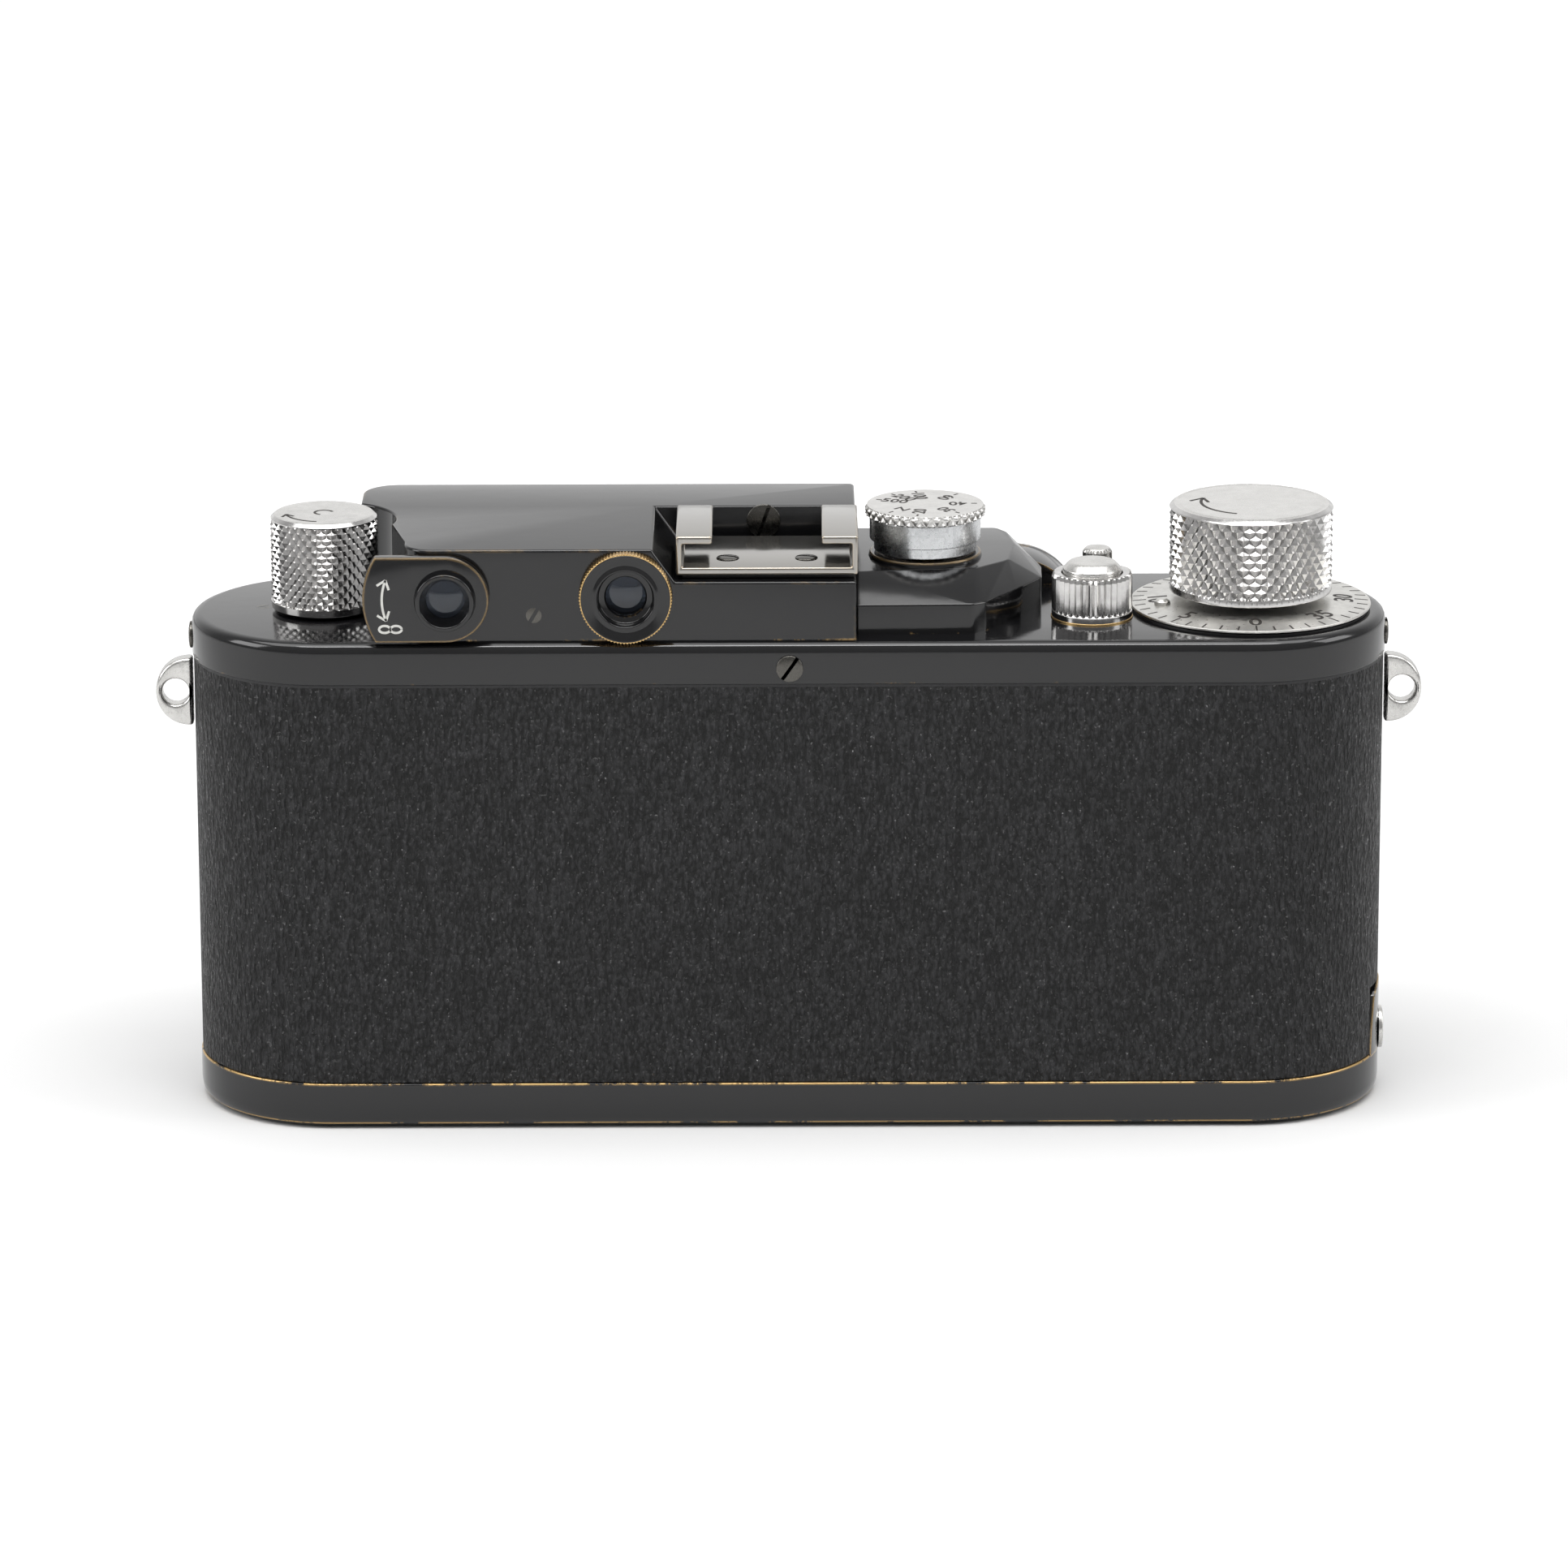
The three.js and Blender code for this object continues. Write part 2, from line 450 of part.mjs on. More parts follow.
// The range eyepiece turns in the housing and its flat arm sets the eyesight correction.
function diopterLever() {
  const inner = HOUSING_BACK - FIT.gap;
  const outer = inner - DIOPTER.thick;
  const shape = new THREE.Shape();
  const half = Math.asin(DIOPTER.radius / DIOPTER.reach);
  shape.absarc(0, 0, DIOPTER.radius, -Math.PI / 2, Math.PI / 2);
  shape.absarc(0, 0, DIOPTER.reach, Math.PI - half, Math.PI + half);
  let lever = prismY(shape, outer, inner, 5).translate([RANGE_X, 0, EYE_Z]);
  const cup = outer - DIOPTER.cupProud;
  lever = lever.add(cylinderY(DIOPTER.cup, cup, inner - 0.2, RANGE_X, EYE_Z));
  lever = lever.add(cylinderY(DIOPTER.spigot, inner - 0.5, HOUSING_BACK + 2.2, RANGE_X, EYE_Z));
  lever = lever.subtract(cylinderY(EYE.ringBore, cup - 1, HOUSING_BACK + 3, RANGE_X, EYE_Z));
  lever = lever.subtract(cylinderY(DIOPTER.cupBore, cup - 1, outer, RANGE_X, EYE_Z));
  piece('diopter_lever', lever, FINISH.enamel);
  const lens = cylinderY(EYE.ringBore - 0.1, outer + 0.3, outer + 1.3, RANGE_X, EYE_Z);
  piece('rangefinder_eye_lens', lens, FINISH.glass);
}

function accessoryShoe() {
  const left = SHOE_X - SHOE.width / 2;
  const right = SHOE_X + SHOE.width / 2;
  const top = SHELF_Z + SHOE.height;
  const under = top - SHOE.rail;
  const section = outline([
    [left, SHELF_Z], [right, SHELF_Z], [right, top], [SHOE_X + SHOE.gap / 2, top],
    [SHOE_X + SHOE.gap / 2, under], [right - SHOE.wall, under], [right - SHOE.wall, SHOE_FLOOR],
    [left + SHOE.wall, SHOE_FLOOR], [left + SHOE.wall, under], [SHOE_X - SHOE.gap / 2, under],
    [SHOE_X - SHOE.gap / 2, top], [left, top],
  ]);
  let shoe = prismY(section, SHOE_BACK, SHOE_BACK + SHOE.length);
  const y = SHOE_BACK + SHOE.screwBack;
  const sides = [['shoe_screw_left', -1], ['shoe_screw_right', 1]];
  for (const [name, side] of sides) {
    const x = SHOE_X + side * SHOE.screwSpread;
    shoe = shoe.subtract(cylinderZ(SHOE.screw + 0.1, SHELF_Z - 1, SHOE_FLOOR + 1, x, y, 14));
    const slot = box(x - SHOE.screw, x + SHOE.screw, y - 0.15, y + 0.15, SHOE_FLOOR - 0.1, SHOE_FLOOR + 1);
    const head = cylinderZ(SHOE.screw, SHELF_Z, SHOE_FLOOR + 0.15, x, y, 14).subtract(slot);
    piece(name, head, FINISH.steel);
  }
  piece('accessory_shoe', shoe, FINISH.enamel);
}

function housingScrews() {
  const backwards = new THREE.Vector3(0, -1, 0);
  screw('housing_screw', HOUSING_SCREW_X, HOUSING_BACK, HOUSING_SCREW_Z, backwards);
  screw('finder_adjust_screw', ADJUST_SCREW_X, HOUSING.shelfFront, ADJUST_SCREW_Z, backwards);
}

// ---------------------------------------------------------------- controls on the top plate

function plinth() {
  const foot = [
    [-7.7, -11.9], [5.0, -11.6], [6.5, -10.6], [10.1, -4.9], [13.0, 0.4],
    [13.1, 5.0], [11.7, 10.5], [9.6, 13.6], [-7.7, 13.6],
  ];
  const crown = [
    [-7.7, -7.4], [5.6, -6.0], [9.2, -2.4], [10.1, 4.8], [9.3, 10.4], [8.2, 12.2], [-7.7, 12.2],
  ];
  const at = (pairs, z) => pairs.map(([x, y]) => new THREE.Vector3(DIAL_X + x, y, z));
  const points = [...at(foot, TOP), ...at(foot, TOP + PLINTH.straight), ...at(crown, TOP + PLINTH.height)];
  let block = solid(new ConvexGeometry(points));
  block = block.add(cylinderZ(DIAL.radius, TOP + 1, DIAL_SEAT, DIAL_X, 0, 26));
  const recess = DIAL.radius - DIAL.seatWall;
  block = block.subtract(cylinderZ(recess, DIAL_SEAT - 0.5, DIAL_SEAT + 1, DIAL_X, 0, 26));
  block = block.subtract(cylinderZ(DIAL.shaft + FIT.run, 0, DIAL_SEAT + 1, DIAL_X, 0));
  const bossBack = FRONT - SLOW.behind - FIT.gap;
  const slowRoom = cylinderY(SLOW.radius + FIT.gap, bossBack, FRONT + 9, SLOW_X, SLOW_Z, 22);
  piece('speed_dial_plinth', block.subtract(slowRoom), FINISH.enamel);
}

function speedDial() {
  const bore = DIAL.shaft + FIT.run;
  const hollow = DIAL.collar + FIT.run * 2;
  const web = DIAL_CAP_FOOT - 0.75;
  const drum = turnedZ([
    [hollow, DIAL_FOOT], [DIAL.waist, DIAL_FOOT], [DIAL.waist, DIAL_WAIST_TOP], [DIAL.radius, DIAL_WAIST_TOP],
    [DIAL.radius, DIAL_CAP_FOOT], [bore, DIAL_CAP_FOOT], [bore, web], [hollow, web],
  ], DIAL_X, 0, 26);
  piece('speed_dial_drum', drum, FINISH.nickel);
  const top = DIAL_CAP_FOOT + DIAL.capHeight;
  piece('speed_dial_cap', cylinderZ(DIAL.capRadius, DIAL_CAP_FOOT, top, DIAL_X, 0, 26), FINISH.nickel);
  const collar = turnedZ([
    [bore, DIAL_FOOT + 0.2], [DIAL.collar, DIAL_FOOT + 0.2], [DIAL.collar, web - 0.2], [bore, web - 0.2],
  ], DIAL_X, 0, 18);
  piece('speed_dial_collar', collar, FINISH.steel);
}

function slowSpeeds() {
  const back = FRONT - SLOW.behind;
  const face = FRONT + SLOW.front;
  let boss = cylinderY(SLOW.radius, back, face, SLOW_X, SLOW_Z, 26);
  boss = boss.subtract(box(SLOW_X - 10, SLOW_X + 10, back - 1, FRONT, 0, TOP));
  boss = boss.subtract(cylinderY(SLOW.stem + FIT.run, FRONT - 1, face + 1, SLOW_X, SLOW_Z, 18));
  piece('slow_speed_housing', boss, FINISH.enamel);
  const dialBack = face + FIT.gap;
  let dial = cylinderY(SLOW.dial, dialBack, dialBack + SLOW.thick, SLOW_X, SLOW_Z, 26);
  dial = dial.add(cylinderY(SLOW.stem, FRONT + 0.1, dialBack + 0.5, SLOW_X, SLOW_Z, 18));
  const pointerX = SLOW_X + SLOW.dial - 1.8;
  const pointer = cylinderY(0.9, dialBack + 1, dialBack + SLOW.thick + 0.8, pointerX, SLOW_Z, 12);
  piece('slow_speed_dial', dial.add(pointer), FINISH.nickel);
}

function release() {
  const collarTop = TOP + RELEASE.collarHeight;
  const bore = RELEASE.button + FIT.run;
  let collar = turnedZ([
    [bore, TOP], [RELEASE.collar, TOP], [RELEASE.collar, collarTop], [bore, collarTop],
  ], RELEASE_X, RELEASE_Y, 18);
  for (let i = 0; i < RELEASE.ribs; i += 1) {
    const angle = (i / RELEASE.ribs) * Math.PI * 2;
    const x = RELEASE_X + RELEASE.collar * Math.cos(angle);
    const y = RELEASE_Y + RELEASE.collar * Math.sin(angle);
    collar = collar.subtract(cylinderZ(0.22, TOP + 0.7, collarTop + 1, x, y, 4));
  }
  piece('release_collar', collar, FINISH.nickel);
  const stemFoot = GEAR_TOP + 2.2;
  const shoulder = TOP + RELEASE.collarHeight - 2.4;
  const top = collarTop + RELEASE.proud;
  const button = turnedZ([
    [0, stemFoot], [RELEASE.stem, stemFoot], [RELEASE.stem, shoulder], [RELEASE.button, shoulder],
    [RELEASE.button, top - 0.4], [RELEASE.button - 0.4, top], [0, top],
  ], RELEASE_X, RELEASE_Y, 22);
  piece('release_button', button, FINISH.nickel);
}

function reversingLever() {
  const x = RELEASE_X + LEVER.right;
  const y = RELEASE_Y + LEVER.ahead;
  const [reachX, reachY] = LEVER.reach;
  const foot = TOP + FIT.gap;
  const top = foot + 0.8;
  const ends = [[x, y, LEVER.hub], [x + reachX, y + reachY, LEVER.button]];
  const points = [];
  for (const [cx, cy, r] of ends) {
    for (let i = 0; i < 20; i += 1) {
      const angle = (i / 20) * Math.PI * 2;
      points.push(new THREE.Vector3(cx + r * Math.cos(angle), cy + r * Math.sin(angle), foot));
      points.push(new THREE.Vector3(cx + r * Math.cos(angle), cy + r * Math.sin(angle), top));
    }
  }
  let lever = solid(new ConvexGeometry(points));
  lever = lever.add(cylinderZ(LEVER.button, foot, TOP + LEVER.height + FIT.gap, x + reachX, y + reachY, 18));
  lever = lever.add(cylinderZ(LEVER.hub - 0.4, top - 0.1, top + 0.5, x, y, 18));
  piece('reversing_lever', lever, FINISH.nickel);
}

// ---------------------------------------------------------------- winding side

function winding() {
  const foot = TOP + WIND.lift;
  const top = foot + WIND.height;
  const bore = WIND.shaft + FIT.seat;
  const hub = TOP + COUNTER.edge + COUNTER.cone + 0.6;
  const knob = turnedZ([
    [bore, hub], [WIND.shaft + 2, hub], [WIND.shaft + 2, foot], [WIND.radius - 0.4, foot],
    [WIND.radius, foot + 0.4], [WIND.radius, top - 0.4], [WIND.radius - 0.4, top], [0, top],
    [0, top - 2], [bore, top - 2],
  ], WIND_X, 0, 22);
  piece('wind_knob', knob, FINISH.nickel);
  const shaft = cylinderZ(WIND.shaft, SPOOL.foot + 1, top - 2.2, WIND_X, 0, 22);
  piece('wind_shaft', shaft, FINISH.steel);
  piece('wind_gear', gear(TRAIN.windTeeth, WIND_X, 0, WIND_PHASE, bore), FINISH.brass);
  const spoolTop = MECH_FOOT - 0.6;
  const core = turnedZ([
    [bore, SPOOL.foot], [SPOOL.flange, SPOOL.foot], [SPOOL.flange, SPOOL.foot + SPOOL.flangeThick],
    [SPOOL.core, SPOOL.foot + SPOOL.flangeThick], [SPOOL.core, spoolTop - SPOOL.flangeThick],
    [SPOOL.flange, spoolTop - SPOOL.flangeThick], [SPOOL.flange, spoolTop], [bore, spoolTop],
  ], WIND_X, 0, 22);
  piece('take_up_spool', core, FINISH.steel);
}

function counterDial() {
  const foot = TOP + COUNTER.seat + 0.1;
  const edge = foot + COUNTER.edge;
  const hole = WIND.shaft + 2 * FIT.run;
  let dial = turnedZ([
    [hole, foot], [COUNTER.radius, foot], [COUNTER.radius, edge], [hole + 2.4, edge + COUNTER.cone - 0.2],
    [hole, edge + COUNTER.cone - 0.2],
  ], WIND_X, 0, 26);
  for (const angle of [Math.PI * 1.075, Math.PI * 0.2]) {
    const x = WIND_X + COUNTER.pinRadius * Math.cos(angle);
    const y = COUNTER.pinRadius * Math.sin(angle);
    dial = dial.add(cylinderZ(COUNTER.pin, foot + 0.1, edge + 0.9, x, y, 16));
  }
  piece('counter_dial', dial, FINISH.nickel);
}

function filmSprocket() {
  const middle = (MECH_FOOT + SPROCKET.foot) / 2;
  const place = [RELEASE_X, RELEASE_Y];
  let shaft = cylinderZ(WIND.shaft, SPROCKET.foot, GEAR_TOP - 0.1, ...place, 18);
  for (const side of [-1, 1]) {
    const z = middle + side * SPROCKET.spread - SPROCKET.width / 2;
    shaft = shaft.add(cylinderZ(SPROCKET.radius, z, z + SPROCKET.width, ...place, 18));
    for (let i = 0; i < SPROCKET.teeth; i += 1) {
      const tooth = new THREE.BoxGeometry(SPROCKET.tooth * 2, 1, 1).translate(SPROCKET.radius - 0.1, 0, 0);
      tooth.rotateZ((i / SPROCKET.teeth) * Math.PI * 2).translate(...place, z + SPROCKET.width / 2);
      shaft = shaft.add(solid(tooth));
    }
  }
  piece('film_sprocket', shaft.add(gear(TRAIN.sprocketTeeth, ...place, TOWARDS_WIND, 0)), FINISH.brass);
}

// ---------------------------------------------------------------- rewind side

function rewinding() {
  const foot = TOP + REWIND.lift;
  const top = foot + REWIND.height;
  const bore = REWIND.shaft + FIT.seat;
  const knob = turnedZ([
    [bore, foot], [REWIND.radius - 0.3, foot], [REWIND.radius, foot + 0.3], [REWIND.radius, top - 0.3],
    [REWIND.radius - 0.3, top], [0, top], [0, top - 1.5], [bore, top - 1.5],
  ], REWIND_X, 0, 18);
  piece('rewind_knob', knob, FINISH.nickel);
  const forkFoot = MECH_FOOT - 6;
  let shaft = cylinderZ(REWIND.shaft, forkFoot, top - 1.7, REWIND_X, 0, 18);
  shaft = shaft.add(cylinderZ(REWIND.sleeve, forkFoot, forkFoot + 3, REWIND_X, 0, 18));
  shaft = shaft.subtract(box(REWIND_X - 1, REWIND_X + 1, -9, 9, forkFoot - 1, forkFoot + 1.8));
  piece('rewind_shaft', shaft, FINISH.steel);
  const sleeve = turnedZ([
    [REWIND.shaft + FIT.run, PLATE_UNDER - 2.5], [REWIND.sleeve, PLATE_UNDER - 2.5],
    [REWIND.sleeve, TOP + 0.05], [REWIND.shaft + FIT.run, TOP + 0.05],
  ], REWIND_X, 0, 18);
  piece('rewind_sleeve', sleeve, FINISH.brass);
}

// ---------------------------------------------------------------- shutter

function mechanismPlate() {
  let plate = planPrism(SHELL_IN + FIT.seat, MECH_FOOT, MECH_TOP);
  const holes = [
    [WIND.shaft, WIND_X, 0], [WIND.shaft, RELEASE_X, RELEASE_Y], [CURTAIN.pin + 0.6, DIAL_X, 0],
    [ARM.shaft, ARM_X, ARM_Y], [REWIND.shaft + 1.3, REWIND_X, 0],
  ];
  for (const [r, x, y] of holes) plate = plate.subtract(cylinderZ(r + FIT.run, 0, TOP, x, y, 18));
  piece('mechanism_plate', plate, FINISH.steel);
}

function shutterCrate() {
  const w = CRATE.wall;
  let crate = box(CRATE_LEFT, CRATE_RIGHT, FILM_Y, CRATE_FRONT, CRATE.foot, CRATE_TOP);
  crate = crate.subtract(
    box(CRATE_LEFT + w, CRATE_RIGHT - w, FILM_Y + CRATE.gateWall, CRATE_FRONT + 1, CRATE.foot + w, CRATE_TOP - w),
  );
  crate = crate.subtract(box(
    LENS_X - GATE.width / 2, LENS_X + GATE.width / 2, FILM_Y - 1, FILM_Y + 3,
    LENS.height - GATE.height / 2, LENS.height + GATE.height / 2,
  ));
  crate = crate.subtract(cylinderZ(DIAL.shaft + FIT.run, CRATE_TOP - 4, TOP, DIAL_X, 0, 18));
  crate = crate.subtract(cylinderZ(ARM.shaft + FIT.run, CRATE_TOP - 4, TOP, ARM_X, ARM_Y, 18));
  piece('shutter_crate', crate, FINISH.casting);
}

function shutterDrum() {
  const foot = CRATE.foot + CRATE.wall;
  const ceiling = CRATE_TOP - CRATE.wall;
  let drum = cylinderZ(DIAL.shaft, foot + 0.2, DIAL_CAP_FOOT - 0.3, DIAL_X, 0, 18);
  drum = drum.add(cylinderZ(CURTAIN.drum, foot + CURTAIN.drumInset, ceiling - CURTAIN.drumInset, DIAL_X, 0));
  drum = drum.add(gear(TRAIN.drumTeeth, DIAL_X, 0, drumPhase(), 0));
  piece('curtain_drum', drum, FINISH.brass);
  const rollerX = DIAL_X - CURTAIN.spread;
  const rollerY = CURTAIN.roller - CURTAIN.drum;
  let roller = cylinderZ(CURTAIN.roller, foot + 2, ceiling - 2, rollerX, rollerY, 14);
  roller = roller.add(cylinderZ(CURTAIN.pin, foot + 0.2, ceiling - 0.2, rollerX, rollerY, 16));
  piece('tension_roller', roller, FINISH.steel);
  const y = -CURTAIN.drum - FIT.gap;
  const half = CURTAIN.tall / 2;
  const cloth = box(rollerX, DIAL_X, y - CURTAIN.thick, y, LENS.height - half, LENS.height + half);
  piece('shutter_curtain', cloth, FINISH.cloth);
}

function pressurePlate() {
  const y = -ROOM + FIT.gap;
  const plate = box(
    LENS_X - GATE.width / 2 - GATE.margin, LENS_X + GATE.width / 2 + GATE.margin, y, y + GATE.plate,
    LENS.height - GATE.height / 2 - GATE.margin, LENS.height + GATE.height / 2 + GATE.margin,
  );
  piece('pressure_plate', plate, FINISH.steel);
}

// ---------------------------------------------------------------- lens

function lensFlange() {
  piece('lens_flange', turnedY([
    [FLANGE.bore, SHELL_FRONT - 1.2], [FLANGE.thread, SHELL_FRONT - 1.2], [FLANGE.thread, SHELL_FRONT],
    [FLANGE.outer, SHELL_FRONT], [FLANGE.outer, FLANGE_FACE], [FLANGE.bore, FLANGE_FACE],
  ], LENS_X, LENS.height), FINISH.nickel);
}

function lensBarrel() {
  const mountBack = FLANGE_FACE + 0.1;
  piece('lens_mount', turnedY([
    [BARREL.bore, SHELL_FRONT - 1], [BARREL.thread, SHELL_FRONT - 1], [BARREL.thread, mountBack],
    [BARREL.mount, mountBack], [BARREL.mount, MOUNT_FRONT], [BARREL.bore, MOUNT_FRONT],
  ], LENS_X, LENS.height), FINISH.nickel);
  const sleeve = BARREL.bore - 0.2;
  piece('helicoid_sleeve', turnedY([
    [BARREL.sleeveBore, SLEEVE_BACK], [sleeve, SLEEVE_BACK], [sleeve, MOUNT_FRONT + 1],
    [BARREL.sleeveBore, MOUNT_FRONT + 1],
  ], LENS_X, LENS.height), FINISH.brass);
  let focus = turnedY([
    [BARREL.bore + 0.1, FOCUS_BACK], [BARREL.focus, FOCUS_BACK], [BARREL.focus, FOCUS_FRONT],
    [BARREL.bore + 0.1, FOCUS_FRONT],
  ], LENS_X, LENS.height);
  const middle = (FOCUS_BACK + FOCUS_FRONT) / 2;
  const tip = BARREL.leverReach - BARREL.leverRadius;
  const tab = new THREE.CylinderGeometry(BARREL.leverRadius, BARREL.leverRadius, 3, 14).translate(tip, middle, 0);
  const bar = new THREE.BoxGeometry(BARREL.focus - BARREL.bore, 3, 3).translate(BARREL.focus - 1, middle, 0);
  for (const geometry of [tab, bar]) {
    geometry.rotateY(Math.PI * 0.75).translate(LENS_X, 0, LENS.height);
    focus = focus.add(solid(geometry));
  }
  const bore = cylinderY(BARREL.bore + 0.1, FOCUS_BACK - 1, FOCUS_FRONT + 1, LENS_X, LENS.height, 32);
  piece('focus_ring', focus.subtract(bore), FINISH.nickel);
}

// The tube collapses through the helicoid and carries the glasses and the front ring.
function lensFront() {
  const tubeBack = FRONT - BARREL.tubeBack;
  piece('lens_tube', turnedY([
    [BARREL.tubeBore, tubeBack], [BARREL.tube, tubeBack], [BARREL.tube, RING_BACK], [BARREL.tubeBore, RING_BACK],
  ], LENS_X, LENS.height), FINISH.nickel);
  piece('lens_front_ring', turnedY([
    [BARREL.ringBore, RING_BACK], [BARREL.ring, RING_BACK], [BARREL.ring, RING_FRONT - 0.6],
    [BARREL.ring - 0.6, RING_FRONT], [BARREL.ringBore, RING_FRONT],
  ], LENS_X, LENS.height), FINISH.nickel);
  const ringBack = RING_FRONT + 0.2;
  const ringFront = ringBack + BARREL.apertureThick;
  piece('aperture_ring', turnedY([
    [BARREL.ringBore, ringBack], [BARREL.aperture, ringBack], [BARREL.aperture, ringFront - 0.5],
    [BARREL.aperture - 0.8, ringFront], [BARREL.ringBore + 0.8, ringFront], [BARREL.ringBore, ringFront - 0.9],
  ], LENS_X, LENS.height), FINISH.nickel);
  const element = (name, radius, y) => {
    const bulge = GLASS.centre - GLASS.edge;
    const lens = turnedY([
      [0, y], [radius, y], [radius, y + GLASS.edge], [radius * 0.66, y + GLASS.edge + bulge * 0.55],
      [radius * 0.33, y + GLASS.edge + bulge * 0.88], [0, y + GLASS.centre],
    ], LENS_X, LENS.height, 22);
    piece(name, lens, FINISH.glass);
  };
  element('front_glass', GLASS.front, RING_FRONT - GLASS.centre - 0.4);
  element('rear_glass', GLASS.rear, tubeBack + 3);
}

// The arm follows the helicoid's rear edge and turns the rangefinder's spindle.
function rangefinderArm() {
  let arm = cylinderZ(ARM.shaft, ARM_Z - 2, GEAR_TOP, ARM_X, ARM_Y, 14);
  arm = arm.add(cylinderZ(ARM.roller, ARM_Z, ARM_Z + ARM.thick, ARM_X, ARM_Y, 14));
  arm = arm.add(cylinderZ(ARM.roller, ARM_Z, ARM_Z + ARM.thick, LENS_X, ARM_Y, 14));
  arm = arm.add(box(ARM_X, LENS_X, ARM_Y - ARM.width / 2, ARM_Y + ARM.width / 2, ARM_Z, ARM_Z + ARM.thick));
  piece('rangefinder_arm', arm, FINISH.steel);
}

// ---------------------------------------------------------------- base plate and its lock

const KEY_X = -BODY.length / 2 + KEY.fromEnd;

function basePlate() {
  let tray = roundedPrism(plan(0), 0, TRAY.height + BODY.footEdge * 2, BODY.footEdge, PLAN_STEPS);
  tray = tray.intersect(box(-BODY.length, BODY.length, -BODY.depth, BODY.depth, 0, TRAY.height));
  const tongue = outline([
    [-EAR.halfWidth, TRAY.height - 1], [EAR.halfWidth, TRAY.height - 1], [EAR.halfWidth, TRAY.height + 1],
    [EAR.halfTop, EAR.height], [-EAR.halfTop, EAR.height], [-EAR.halfWidth, TRAY.height + 1],
  ]);
  const ear = prismX(tongue, ARC_X + 5, BODY.length).intersect(planPrism(0, 0, TOP));
  tray = tray.add(ear).subtract(planPrism(TRAY.wall, TRAY.floor, TOP));
  tray = tray.subtract(cylinderZ(KEY.radius + FIT.run, -1, TRAY.floor + 1, KEY_X, 0, 26));
  tray = tray.subtract(cylinderZ(TRIPOD.outer + FIT.seat, -1, TRAY.floor + 1, WIND_X, 0, 22));
  piece('base_plate', tray, FINISH.enamel);
  const x = BODY.length / 2 + FIT.seat;
  piece('base_stud', cylinderX(EAR.stud, x, x + EAR.studProud, 0, EAR.studHeight), FINISH.nickel);
}

function tripodBush() {
  const under = TRAY.floor;
  piece('tripod_bush', turnedZ([
    [0, TRIPOD.depth], [TRIPOD.bore, TRIPOD.depth], [TRIPOD.bore, 0], [TRIPOD.outer, 0], [TRIPOD.outer, under],
    [TRIPOD.flange, under], [TRIPOD.flange, under + TRIPOD.flangeThick],
    [TRIPOD.outer, under + TRIPOD.flangeThick], [TRIPOD.outer, TRIPOD.height], [0, TRIPOD.height],
  ], WIND_X, 0, 22), FINISH.steel);
}

function baseKey() {
  const foot = BOW.recess;
  const washer = TRAY.floor + 0.1;
  let disc = turnedZ([
    [0, foot], [KEY.radius, foot], [KEY.radius, washer], [KEY.washer, washer],
    [KEY.washer, washer + KEY.washerThick], [KEY.hub, washer + KEY.washerThick], [KEY.hub, KEY.hubTop],
    [0, KEY.hubTop],
  ], KEY_X, 0, 26);
  const bowRoof = foot + BOW.thick + 0.2;
  const half = (r, z0, z1) => cylinderZ(r, z0, z1, KEY_X, 0, 22)
    .intersect(box(KEY_X - 9, KEY_X + 9, -9, 0, -2, 9));
  const groove = half(BOW.outer + 0.3, -1, bowRoof).subtract(cylinderZ(BOW.inner - 0.3, -2, 9, KEY_X, 0, 22));
  const pivotRoom = box(KEY_X - BOW.outer - 0.3, KEY_X + BOW.outer + 0.3, -0.1, 0.7, -1, bowRoof);
  const pivotGap = box(KEY_X - BOW.inner + 0.3, KEY_X + BOW.inner - 0.3, -9, 9, -1, bowRoof);
  disc = disc.subtract(groove).subtract(pivotRoom.subtract(pivotGap));
  piece('base_key', disc, FINISH.nickel);
  const bowTop = foot + BOW.thick;
  const bow = half(BOW.outer, foot, bowTop).subtract(cylinderZ(BOW.inner, -2, 9, KEY_X, 0, 22));
  piece('base_key_bow', bow, FINISH.nickel);
}

bodyShell();
bodyCovering();
topPlate();
skirtScrews();
strapLug('strap_lug_left', -1);
strapLug('strap_lug_right', 1);
finderHousing();
finderGlass();
viewfinderEyepiece();
diopterLever();
accessoryShoe();
housingScrews();
plinth();
speedDial();
slowSpeeds();
release();
reversingLever();
winding();
counterDial();
filmSprocket();
rewinding();
mechanismPlate();
shutterCrate();
shutterDrum();
pressurePlate();
lensFlange();
lensBarrel();
lensFront();
rangefinderArm();
basePlate();
tripodBush();
baseKey();

export default camera;
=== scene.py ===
from math import acos, asin, atan2, cos, degrees, inf, pi, radians, sin, sqrt, tan

import bmesh
import bpy
from mathutils import Matrix, Quaternion, Vector


